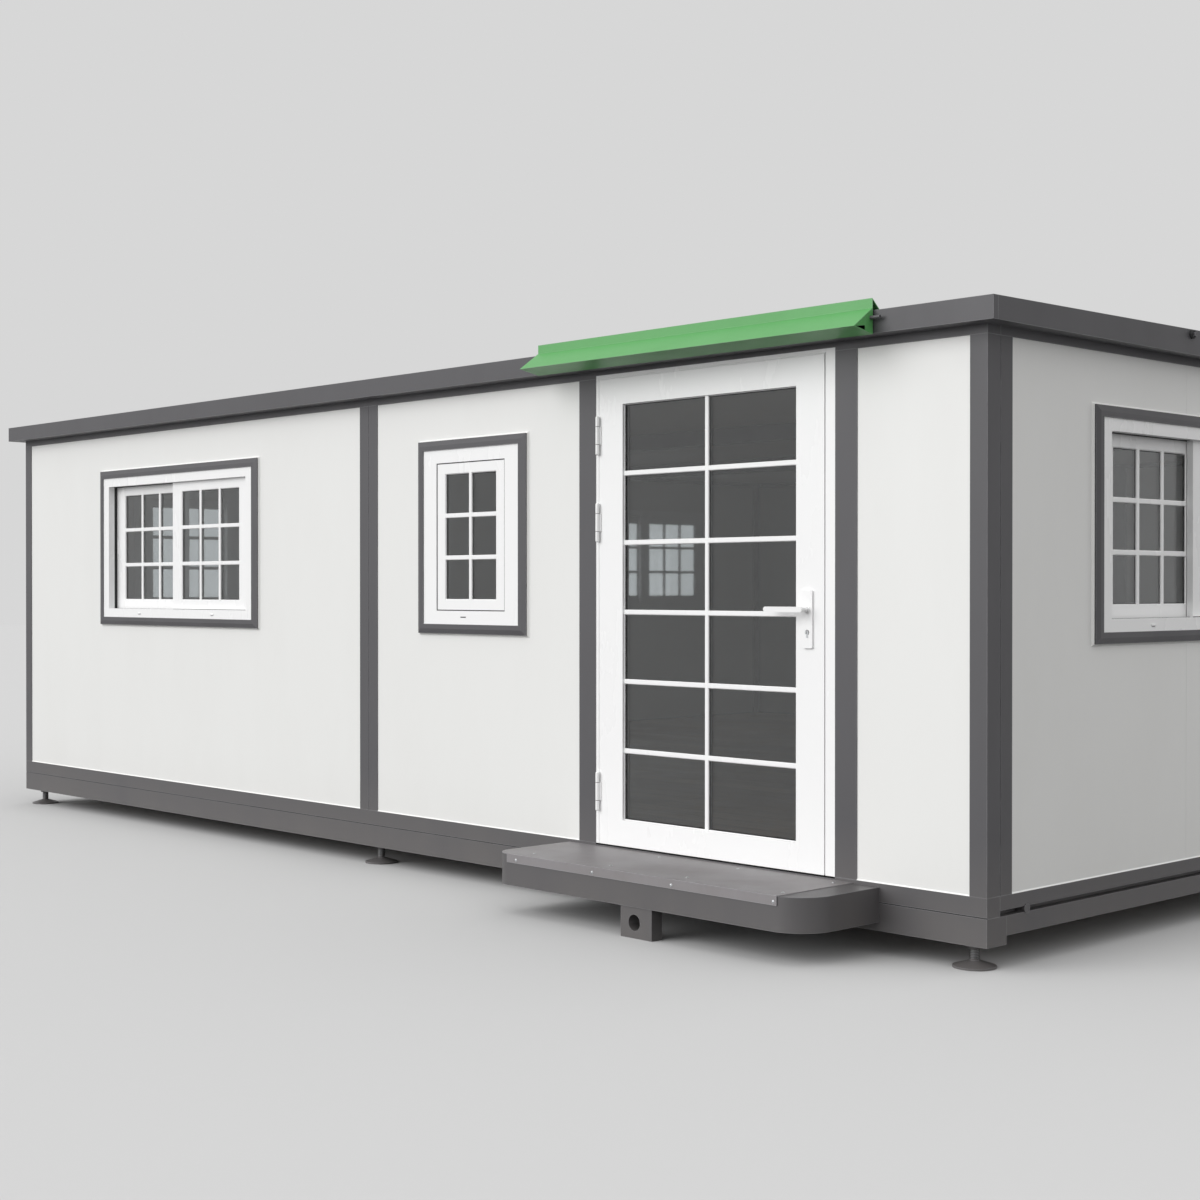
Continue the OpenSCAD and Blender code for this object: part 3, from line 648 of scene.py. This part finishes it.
@dataclass
class House:
    """What the parts need to know of the frame, and the pieces collected so far."""

    nodes: dict[str, Object]
    finishes: dict[str, Material]
    middle: Array
    pieces: list[Piece] = field(default_factory=list)

    def solids(self, node: str) -> list[Box]:
        """Give the boxes of a node's separate solids."""
        return solid_boxes(self.nodes[node])

    def flats(self, node: str) -> list[Flat]:
        """Give a wall node's separate solids, each with its directions."""
        return [flat_from(box, self.middle) for box in self.solids(node)]

    def box(self, node: str) -> Box:
        """Give a node's lowest and highest corner."""
        low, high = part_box(node)
        return np.array(low), np.array(high)

    def piece(
        self, name: str, slot: Slot, finish: str = "", body: Body = Body.HOUSE, smooth: bool = True
    ) -> Piece:
        """Start a piece, in its slot's own finish if no other is named."""
        self.pieces.append(Piece(name, body, slot, self.finishes[finish or slot.name.lower()], smooth))
        return self.pieces[-1]


def glaze(bars: Piece, beads: Piece, seals: Piece, pane: Flat, columns: int, rows: int) -> None:
    """Lay bars, a sloped bead and a rubber seal over both faces of a pane.

    Args:
        bars: The piece that takes the bars.
        beads: The piece that takes the bead.
        seals: The piece that takes the seal, which shows as a line beside the bead.
        pane: The pane.
        columns: Number of lights across.
        rows: Number of lights up.
    """
    bar_w, bar_d, bar_step, chamfer = 0.022, 0.007, 0.0005, 0.003
    bead_w, seal_w = 0.004, 0.003
    w, s = bead_w, bead_w + seal_w
    standing = bar_profile(bar_w, bar_d, chamfer)
    lying = bar_profile(bar_w, bar_d - bar_step, chamfer)
    bead = np.array([[0.0, 0.0], [0.0, 0.005], [-w, 0.001], [-w, 0.0]])
    seal = np.array([[-w, 0.0], [-w, 0.0012], [-s, 0.0006], [-s, 0.0]])
    for side in (1.0, -1.0):
        for a in np.linspace(-pane.half_w, pane.half_w, columns + 1)[1:-1]:
            bars.add(pane.upright(standing, float(a), -pane.half_h, pane.half_h, side))
        for b in np.linspace(-pane.half_h, pane.half_h, rows + 1)[1:-1]:
            bars.add(pane.level(lying, float(b), -pane.half_w, pane.half_w, side))
        beads.add(pane.ring(bead, side))
        seals.add(pane.ring(seal, side))


def sash_pairs(house: House) -> list[tuple[Flat, Flat]]:
    """Pair the sliding sashes by window, the inner one first.

    In order along a wall, each two neighbours are one window.
    """
    flats = house.flats("sliding_sashes")
    flats.sort(key=lambda f: (tuple(np.round(f.out)), float(f.middle @ f.along)))
    pairs = zip(flats[::2], flats[1::2])
    return [tuple(sorted(pair, key=lambda f: float(f.middle @ f.out))) for pair in pairs]


def add_dark_line(piece: Piece, sash: Flat, width: float, edges: str) -> None:
    """Run a thin dark line along some edges of a sash's face: of t, b, l and r."""
    line = rectangle(width, 0.001)
    a, b = sash.half_w - width / 2.0, sash.half_h - width / 2.0
    for edge, place in (("t", b), ("b", -b)):
        if edge in edges:
            piece.add(sash.level(line, place, -sash.half_w, sash.half_w, 1.0))
    for edge, place in (("r", a), ("l", -a)):
        if edge in edges:
            piece.add(sash.upright(line, place, -b, b, 1.0))


def add_track_shade(piece: Piece, inner: Flat, outer: Flat) -> None:
    """Paint shade with dark strips in the outer track's empty half, beside and round the recessed inner sash.
    """
    t, depth = 0.0008, 0.018
    right = float((outer.middle - inner.middle) @ inner.along) - outer.half_w
    strip = np.array([[0.0, 0.0], [t, 0.0], [t, depth], [0.0, depth]])
    flip = strip * np.array([-1.0, 1.0])
    piece.add(inner.upright(strip, -inner.half_w, -inner.half_h, inner.half_h, 1.0))
    piece.add(inner.level(strip, -inner.half_h, -inner.half_w, right, 1.0))
    piece.add(inner.level(flip, inner.half_h, -inner.half_w, right, 1.0))


def add_pull(piece: Piece, sash: Flat, a: float) -> None:
    """Set an upright finger pull on a sash's stile: a plate, and a fin on it."""
    plate, fin = bar_profile(0.010, 0.004, 0.002), bar_profile(0.003, 0.008, 0.001)
    for section, half in ((plate, 0.045), (fin, 0.040)):
        piece.add(sash.upright(section, a, -half, half, 1.0))


def add_drains(caps: Piece, slots: Piece, sash: Flat) -> None:
    """Set two hooded drain slots on the frame rail, which stands out under a pair of sliding sashes."""
    proud, drop, spots = 0.024, 0.0286, (-0.75, 0.06)
    hood = np.array([[-0.004, 0.0], [-0.003, 0.004], [0.003, 0.005], [0.004, 0.0]])
    mouth = np.array([[-0.0055, 0.0], [-0.0055, 0.0007], [-0.0038, 0.0007], [-0.0038, 0.0]])
    for a in spots:
        # Each slot's dark mouth is painted shade of the opening.
        for piece, section, half in ((caps, hood, 0.015), (slots, mouth, 0.013)):
            piece.add(sash.level(section + [0.0, proud], -sash.half_h - drop, a - half, a + half, 1.0))


@dataclass(frozen=True)
class Fastener:
    """A fastener on the room side of a sash: a plate, a hub on it and an arm on that.

    Attributes:
        inset: How far it is from the sash's edge.
        plate: The plate's width, depth and chamfer.
        plate_h: Half the plate's height.
        hub: The hub's profile.
        arm: The arm's width and depth.
        arm_out: How far the arm's middle is from the plate.
        arm_l: The arm's length upwards.
    """

    inset: float
    plate: tuple[float, float, float]
    plate_h: float
    hub: tuple[tuple[float, float], ...]
    arm: tuple[float, float]
    arm_out: float
    arm_l: float

    def set_on(self, piece: Piece, sash: Flat) -> None:
        """Set it halfway up the sash."""
        a = sash.half_w - self.inset
        piece.add(sash.upright(bar_profile(*self.plate), a, -self.plate_h, self.plate_h, -1.0))
        foot = sash.at(a, 0.0, -sash.half_t - self.plate[1])
        start = foot - sash.out * self.arm_out
        piece.add(turned(np.array(self.hub), foot, -sash.out))
        piece.add(carried(rectangle(*self.arm), start, sash.along, -sash.out, UP * self.arm_l))


LATCH = Fastener(
    inset=0.03,
    plate=(0.022, 0.006, 0.002),
    plate_h=0.035,
    hub=((0.016, 0.0), (0.016, 0.004), (0.014, 0.006), (0.001, 0.006)),
    arm=(0.008, 0.006),
    arm_out=0.0085,
    arm_l=0.045,
)
HANDLE = Fastener(
    inset=0.035,
    plate=(0.028, 0.009, 0.003),
    plate_h=0.04,
    hub=((0.009, 0.0), (0.008, 0.02), (0.001, 0.02)),
    arm=(0.018, 0.011),
    arm_out=0.0255,
    arm_l=-0.12,
)


def build_windows(house: House) -> None:
    """Build the windows' bars, beads, seals, painted shade lines and strips, drain caps, pulls and latches.
    """
    light_w, rows = 0.2, 3
    slider_shade_line, hinged_seam, pull_in = 0.003, 0.005, 0.02
    bars = house.piece("window_bars", Slot.PLASTIC)
    beads = house.piece("window_beads", Slot.PLASTIC)
    seals = house.piece("window_seals", Slot.PLASTIC, "rubber")
    seams = house.piece("sash_seams_and_shade_lines", Slot.PLASTIC, "rubber")
    track_shades = house.piece("track_shade_strips", Slot.PLASTIC, "rubber")
    caps = house.piece("drain_caps", Slot.PLASTIC)
    slots = house.piece("drain_slots", Slot.PLASTIC, "rubber")
    pulls = house.piece("sash_pulls", Slot.PLASTIC)
    latches = house.piece("sash_latches", Slot.LEVER)
    for pane in house.flats("window_glass"):
        glaze(bars, beads, seals, pane, max(2, round(2.0 * pane.half_w / light_w)), rows)
    for inner, outer in sash_pairs(house):
        # Painted shade on the sliding sashes: a dark line under the head, and below and right of the outer
        # one.
        add_dark_line(seams, inner, slider_shade_line, "t")
        add_dark_line(seams, outer, slider_shade_line, "br")
        add_track_shade(track_shades, inner, outer)
        add_pull(pulls, outer, outer.half_w - pull_in)
        add_pull(pulls, inner, pull_in - inner.half_w)
        LATCH.set_on(latches, inner)
        add_drains(caps, slots, outer)
    drain = bar_profile(0.005, 0.0008, 0.0002) + [0.0, 0.003]
    drain_drop, drain_left, drain_right = 0.03, -0.07, -0.03
    for sash in house.flats("casement_sash"):
        # On the hinged sash the dark line all round is its rubber seam.
        add_dark_line(seams, sash, hinged_seam, "tblr")
        # The dark slot under the hinged sash is painted shade of its opening.
        slots.add(sash.level(drain, -sash.half_h - drain_drop, drain_left, drain_right, 1.0))
        HANDLE.set_on(latches, sash)


def build_door(house: House) -> None:
    """Build the glazed door's bars, beads and seals, and the white lip seals in the gap round it."""
    bars = house.piece("door_bars", Slot.PLASTIC, body=Body.DOOR)
    beads = house.piece("door_beads", Slot.PLASTIC, body=Body.DOOR)
    seals = house.piece("door_seals", Slot.PLASTIC, "rubber", Body.DOOR)
    for pane in house.flats("door_glass"):
        glaze(bars, beads, seals, pane, columns=2, rows=6)
    lips = house.piece("door_lip_seals", Slot.PLASTIC)
    lip_w, lip_d, setback = 0.0048, 0.008, 0.002
    section = np.array([[0.0, 0.0], [lip_w, 0.0015], [lip_w, lip_d], [0.0, lip_d]])
    low, high = house.box("door_leaf")
    gap = float(low[0] - house.box("door_head_and_threshold")[0][0])
    foot = np.array([low[0] - gap, float(low[1]) + setback, low[2]])
    top = float(high[2]) + gap
    lips.add(carried(section, foot, ACROSS, INWARDS, UP * (top - low[2])))
    head = np.array([foot[0], foot[1], top])
    lips.add(carried(section, head, -UP, INWARDS, ACROSS * (high[0] - low[0] + gap)))


def build_lock(house: House) -> None:
    """Set a lock cylinder with its keyway in each plate, and a rose round each lever's neck."""
    cylinders = house.piece("lock_cylinders", Slot.LEVER, "zinc", Body.DOOR)
    keyways = house.piece("lock_keyways", Slot.PLASTIC, "rubber", Body.DOOR)
    roses = house.piece("lever_roses", Slot.LEVER, body=Body.DOOR)
    cylinder_drop = 0.091
    bore, rose_r = 0.0096, 0.0155
    collar = np.array([[bore, 0.0], [rose_r, 0.0], [rose_r, 0.0022], [0.0135, 0.0034], [bore, 0.0034]])
    hub = np.array([[0.0085, 0.0], [0.0085, 0.0012], [0.0078, 0.0018], [0.001, 0.0018]])
    rim = np.array([[0.0105, -0.0003], [0.0105, 0.0004], [0.0088, 0.0006]])
    tail, tail_l = rectangle(0.010, 0.0026), 0.021
    slit, slit_l, slit_rise, slit_out = rectangle(0.0028, 0.001), 0.0105, 0.005, 0.0019
    low, high = house.box("door_plates")
    levers = house.box("door_levers")
    x = (low[0] + high[0]) / 2.0
    z = (levers[0][2] + levers[1][2]) / 2.0
    for y, away in ((low[1], -INWARDS), (high[1], INWARDS)):
        face = np.array([x, y, z - cylinder_drop])
        cylinders.add(turned(hub, face, away))
        cylinders.add(carried(tail, face, ACROSS, away, -UP * tail_l))
        start = face + away * slit_out + UP * slit_rise
        # The dark slit and the dark ring round the cylinder are painted shade of the keyway and its gap.
        keyways.add(carried(slit, start, ACROSS, away, -UP * slit_l))
        keyways.add(turned(rim, face, away))
        roses.add(turned(collar, np.array([x, y, z]), away, looped=True))


def build_hinges(house: House) -> None:
    """Close each hinge with a domed cap, and show the washers between its knuckles."""
    caps = house.piece("hinge_caps", Slot.PLASTIC)
    washers = house.piece("hinge_washers", Slot.PLASTIC, "rubber")
    knuckle_r, knuckle_h, play = 0.009, 0.042, 0.0003
    cap = dome(knuckle_r * 0.96, height=0.005)
    joint = np.array([[0.0091, -0.0007], [0.0097, -0.0007], [0.0097, 0.0010], [0.0091, 0.0010]])
    for low, high in house.solids("leaf_hinges"):
        axis = np.array([float(low[0]) + knuckle_r, float(low[1]) + knuckle_r, 0.0])
        for z, way in ((low[2], -1.0), (high[2], 1.0)):
            end = axis + UP * (z + way * (knuckle_h + play))
            caps.add(turned(cap, end, UP * way))
            washers.add(turned(joint, axis + UP * z, UP * way, looped=True))


def build_step(house: House) -> None:
    """Drive round-headed screws into the step's folded lip, and along its tread's front and back."""
    piece = house.piece("step_screws", Slot.LEVER, "zinc")
    low, high = house.box("step_tread")
    head = screw_head(radius=0.0055, height=0.0035)
    lip_drop, front_in, back_out = 0.024, 0.075, 0.06
    rows = (
        ((0.150, 0.626, 1.079, 1.609), low[1], high[2] - lip_drop, -INWARDS),
        ((0.186, 0.661, 1.096, 1.593), low[1] + front_in, high[2], UP),
        ((0.631, 1.079, 1.578), high[1] - back_out, high[2], UP),
    )
    for from_left, y, z, out in rows:
        for x in from_left:
            piece.add(turned(head, np.array([low[0] + x, y, z]), out))


def build_feet(house: House) -> None:
    """Wind a thread up each jack screw from its foot's cone, and turn its nut up under the beam."""
    threads = house.piece("jack_threads", Slot.STEEL, "zinc")
    nuts = house.piece("jack_nuts", Slot.STEEL, smooth=False)
    bore, thread_d, pitch, cone_top = 0.018, 0.0016, 0.006, 0.028
    r, h, chamfer, gap = 0.033, 0.018, 0.002, 0.0005
    face_r = 0.88 * r
    body = np.array([[bore, 0.0], [face_r, 0.0], [r, chamfer], [r, h - chamfer], [face_r, h], [bore, h]])
    nut_foot = float(house.box("jack_feet")[1][2]) - h - gap
    for low, high in house.solids("jack_feet"):
        centre = (low + high) / 2.0 * np.array([1.0, 1.0, 0.0])
        threads.add(helix(centre + UP * cone_top, bore, thread_d, pitch, nut_foot - cone_top))
        nuts.add(turned(body, centre + UP * nut_foot, UP, 6, looped=True))


def build_ribs(house: House) -> None:
    """Carry ribs down each slope and over the core, screwed down along their length."""
    ribs = house.piece("roof_ribs", Slot.ROOF)
    screws = house.piece("roof_screws", Slot.LEVER, "zinc")
    pitch, setback, margin = 0.476, 0.2, 0.1
    a, h, sunk, top, screwed = 0.025, 0.014, 0.001, 0.55, (0.04, 0.35, 0.65, 0.96)
    section = np.array([[-a, -sunk], [a, -sunk], [a * top, h], [-a * top, h]])
    head = screw_head(radius=0.006, height=0.004)
    low, high = house.box("wing_roofs")
    back_seam, front_seam = sorted(house.solids("roof_flashings"), key=lambda b: -b[0][1])
    eave = float(house.box("eave_fascias")[1][2])
    crown = float(high[2])
    start_z = eave + (crown - eave) / float(high[1] - back_seam[1][1]) * setback
    lines = (
        ((high[1] - setback, start_z), (back_seam[1][1], crown)),
        ((low[1] + setback, start_z), (front_seam[0][1], crown)),
        ((front_seam[1][1], crown), (back_seam[0][1], crown)),
    )
    count = int((high[0] - low[0] - margin) / pitch)
    first = (low[0] + high[0] - count * pitch) / 2.0
    for start, end in lines:
        run = np.array([0.0, end[0] - start[0], end[1] - start[1]])
        normal = np.cross(ACROSS, run) * np.sign(run[1])
        normal /= np.linalg.norm(normal)
        for x in first + pitch * np.arange(count + 1):
            foot = np.array([x, *start])
            ribs.add(carried(section, foot, ACROSS, UP, run))
            for share in screwed:
                screws.add(turned(head, foot + run * share + normal * h, normal, 12))


def build_roof_sealant(house: House) -> None:
    """Run sealant along both edges of each flashing."""
    piece = house.piece("roof_sealant", Slot.ROOF, "putty")
    section = np.array([[0.0, 0.0], [0.010, 0.0], [0.0, 0.004]])
    sunk = 0.0006
    z = float(house.box("wing_roofs")[1][2]) - sunk
    for low, high in house.solids("roof_flashings"):
        for y, out in ((low[1], -INWARDS), (high[1], INWARDS)):
            piece.add(carried(section, np.array([low[0], y, z]), out, UP, ACROSS * (high[0] - low[0])))


def build_lining(house: House) -> None:
    """Board the ceiling of the core and of both wings, a joint between the boards."""
    piece = house.piece("ceiling_lining", Slot.PANEL, "lining")
    board_w, t, c, joint = 0.95, 0.006, 0.002, 0.003
    floor_low, floor_high = house.box("wing_floors")
    beam_low, beam_high = house.box("core_top_beams")
    beam_w = min(float(high[1] - low[1]) for low, high in house.solids("core_top_beams"))
    under = float(house.box("eave_fascias")[0][2]) - t
    bays = (
        (floor_low[1], beam_low[1]),
        (beam_low[1] + beam_w, beam_high[1] - beam_w),
        (beam_high[1], floor_high[1]),
    )
    count = max(1, round(float(floor_high[0] - floor_low[0]) / board_w))
    edges = np.linspace(floor_low[0], floor_high[0], count + 1)
    for start, end in bays:
        for left, right in zip(edges[:-1], edges[1:]):
            w = float(right - left) - joint
            section = np.array([[0.0, t], [0.0, c], [c, 0.0], [w - c, 0.0], [w, c], [w, t]])
            foot = np.array([left + joint / 2.0, start, under])
            piece.add(carried(section, foot, ACROSS, UP, INWARDS * (end - start)))


def build_collars(house: House) -> None:
    """Slip a rubber collar over the root of each end fascia's lugs."""
    piece = house.piece("lug_collars", Slot.STEEL, "rubber")
    lug_in, lug_drop, lug_l, bore = 1.372, 0.014, 0.02, 0.0118
    section = np.array([[bore, 0.0], [0.018, 0.0], [0.018, 0.009], [0.016, 0.012], [bore, 0.012]])
    low, high = house.box("end_fascias")
    z = float(house.box("eave_fascias")[1][2]) - lug_drop
    for x, out in ((low[0] + lug_l, -ACROSS), (high[0] - lug_l, ACROSS)):
        for y in (low[1] + lug_in, high[1] - lug_in):
            piece.add(turned(section, np.array([x, y, z]), out, looped=True))


def build_awning(house: House) -> None:
    """Close each end of the awning's nose with a cheek that leaves a sliver open under it.

    A cheek is a triangle. Its tip lies in the nose, and its back edge meets the solid end plate, from
    just under the sloped sheet down to the sliver over the soffit.
    """
    cheeks = house.piece("awning_cheeks", Slot.AWNING)
    low, high = house.box("awning")
    t, sliver = 0.003, 0.021
    flange_h, leg_w, plate_w, soffit_fall = 0.038, 0.045, 0.046, 0.021
    back, under = 2.2 * t, 1.3 * t
    nose = np.array([low[1], low[2] + soffit_fall])
    front = float(high[1]) - leg_w
    fold = np.array([front, high[2] - flange_h])
    edge = front + t - plate_w
    slope = (fold[1] - nose[1]) / (fold[0] - nose[0])
    rise = slope * (edge - nose[0])
    fall = soffit_fall / (front - nose[0]) * (edge - nose[0])
    tip = nose + [back, slope * back - under]
    upper = np.array([edge, nose[1] + rise - under])
    lower = np.array([edge, nose[1] - fall + sliver])
    for x in (low[0], high[0] - t):
        cheeks.add(carried(np.stack([tip, lower, upper]), ACROSS * x, INWARDS, UP, ACROSS * t))


def add_lines(house: House, piece: Piece, nodes: tuple[str, ...], section: Array, inset: float) -> None:
    """Carry a section along the foot of each wall solid's face, short of its ends by the inset."""
    for node in nodes:
        for flat in house.flats(node):
            piece.add(flat.level(section, -flat.half_h, inset - flat.half_w, flat.half_w - inset, 1.0))


def build_sealant(house: House) -> None:
    """Seal the panels' feet and the window trims, and paint shade in the long sills' grooves with dark
    strips.
    """
    lap, bead_h = 0.015, 0.004
    bead = np.array([[0.0, 0.0], [bead_h * 1.2, 0.0], [0.0, bead_h * 0.95]])
    fronts = ("front_wall_wide", "front_wall_middle", "front_wall_narrow", "back_walls")
    walls = (*fronts, "right_wing_walls", "left_wing_walls", "core_end_walls")
    add_lines(house, house.piece("panel_sealant", Slot.PANEL, "sealant"), walls, bead, lap)
    fillets = house.piece("trim_sealant", Slot.PANEL, "sealant")
    w = 0.009
    fillet = np.array([[0.0, 0.0], [w, 0.0], [0.38 * w, -0.38 * w], [0.0, -w]])
    for trim in house.flats("window_trims"):
        fillets.add(trim.ring(fillet, -1.0))
    # A dark strip set back in each sill groove is painted shade.
    groove_h, groove_d, setback, slack, end_gap = 0.004, 0.006, 0.0012, 0.0004, 0.002
    depth = groove_d - setback
    groove_shade = rectangle(groove_h - slack, depth) + [0.5 * groove_h, -setback - 0.5 * depth]
    add_lines(house, house.piece("sill_groove_shade", Slot.STEEL, "rubber"), ("long_sills",), groove_shade, end_gap)


# ---- Stage


@dataclass
class Stage:
    """The floor, the sky, the lamp and the camera.

    Attributes:
        corner: The foot of the house's near corner.
        away: The camera's place from that corner.
        azimuth: The camera's turn about the vertical.
        pitch: The camera's tilt from level.
        lens: Focal length in millimetres.
        sensor: Width of the sensor in millimetres.
        reach: How far the camera sees.
        half: Half the width of the floor.
        floor_seen: The floor's tone to the eye.
        floor_lit: The floor's tone as a reflector of light.
        sky_seen: The sky's strength to the eye.
        sky_lit: The sky's strength as a lamp.
        lamp: Strength of the lamp.
        spread: How wide the lamp is.
        lamp_turn: The lamp's turn from straight down.
    """

    corner: Array
    away: tuple[float, float, float] = (3.927, -5.678, 1.405)
    azimuth: float = 46.447
    pitch: float = -0.344
    lens: float = 55.73
    sensor: float = 36.0
    reach: float = 200.0
    half: float = 60.0
    floor_seen: float = 0.59
    floor_lit: float = 0.05
    sky_seen: float = 0.68
    sky_lit: float = 0.94
    lamp: float = 1.77
    spread: float = 50.0
    lamp_turn: tuple[float, float, float] = (66.0, 0.0, -22.0)

    def build(self) -> None:
        """Set the whole stage."""
        self.floor()
        self.sky()
        self.sun()
        self.camera()
        bpy.context.scene.view_settings.view_transform = "Standard"

    def place(self, name: str, data: bpy.types.ID, turn: tuple[float, ...] = (0.0, 0.0, 0.0)) -> Object:
        """Put an object of the stage into the scene, turned by so many degrees about each axis."""
        thing = bpy.data.objects.new(name, data)
        thing.rotation_euler = [math.radians(angle) for angle in turn]
        bpy.context.scene.collection.objects.link(thing)
        return thing

    def seen(self, g: Graph) -> Socket:
        """Give 1 for rays from the camera, a mirror or a pane, and 0 for the rest."""
        path = g.add("LightPath").outputs
        mirrored = g.math("MAXIMUM", path["Is Camera Ray"], path["Is Glossy Ray"])
        return g.math("MAXIMUM", mirrored, path["Is Transmission Ray"])

    def floor(self) -> None:
        """Lay a wide floor under the feet, pale to look at and darker as a reflector."""
        mesh = bpy.data.meshes.new("floor")
        square = rectangle(2.0 * self.half, 2.0 * self.half)
        mesh.from_pydata(np.pad(square, ((0, 0), (0, 1))).tolist(), [], [[0, 1, 2, 3]])
        material, g, shader = new_material("pale floor")
        tones = [(tone, tone, tone, 1.0) for tone in (self.floor_lit, self.floor_seen)]
        looks = {"Base Color": g.mix(self.seen(g), *tones), "Roughness": 0.9, "Specular IOR Level": 0.0}
        g.fill(shader.inputs, looks)
        mesh.materials.append(material)
        floor = self.place("floor", mesh)

    def sky(self) -> None:
        """Light the scene evenly from a white sky, which shows itself a little greyer."""
        world = bpy.data.worlds.new("sky")
        bpy.context.scene.world = world
        world.use_nodes = True
        g = Graph(world.node_tree)
        level = g.ranged(self.seen(g), 0.0, 1.0, self.sky_lit, self.sky_seen)
        g.fill(world.node_tree.nodes["Background"].inputs, {"Color": (1.0, 1.0, 1.0, 1.0), "Strength": level})

    def sun(self) -> None:
        """Add one broad soft lamp from the front left."""
        lamp = bpy.data.lights.new("soft lamp", "SUN")
        lamp.energy = self.lamp
        lamp.angle = math.radians(self.spread)
        self.place("soft lamp", lamp, self.lamp_turn)

    def camera(self) -> None:
        """Stand the camera where it sees the front and the right end."""
        data = bpy.data.cameras.new("camera")
        data.lens = self.lens
        data.sensor_width = self.sensor
        data.clip_end = self.reach
        camera = self.place("camera", data, (90.0 + self.pitch, 0.0, self.azimuth))
        camera.location = tuple(self.corner + np.array(self.away))
        bpy.context.scene.camera = camera


def dress(nodes: dict[str, Object], record: dict, finishes: dict[str, Material]) -> None:
    """Give every CAD node its record slot's finish, and the tread a lighter steel paint: painted light."""
    by_slot = {slot.value: finishes[slot.name.lower()] for slot in Slot}
    wanted = {part["node"]: part["material_slot"] for part in record["subparts"]}
    for name, thing in nodes.items():
        finish = finishes["tread"] if name == "step_tread" else by_slot[wanted[name]]
        for slot in thing.material_slots:
            slot.material = finish
        if not thing.material_slots:
            thing.data.materials.append(finish)


PARTS = (
    build_windows,
    build_door,
    build_lock,
    build_hinges,
    build_step,
    build_feet,
    build_ribs,
    build_roof_sealant,
    build_lining,
    build_collars,
    build_awning,
    build_sealant,
)


def main() -> None:
    """Build the house's looks and its stage."""
    logging.basicConfig(level=logging.INFO, format="%(name)s: %(message)s")
    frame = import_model()
    finishes = build_finishes()
    dress(frame["nodes"], frame["record"], finishes)
    low, high = (np.array(v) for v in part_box("long_sills"))
    house = House(frame["nodes"], finishes, (low + high) / 2.0)
    for build in PARTS:
        LOG.info("%s", build.__name__)
        build(house)
    for piece in house.pieces:
        piece.make()
    Stage(np.array([high[0], low[1], 0.0])).build()


if __name__ == "__main__":
    main()
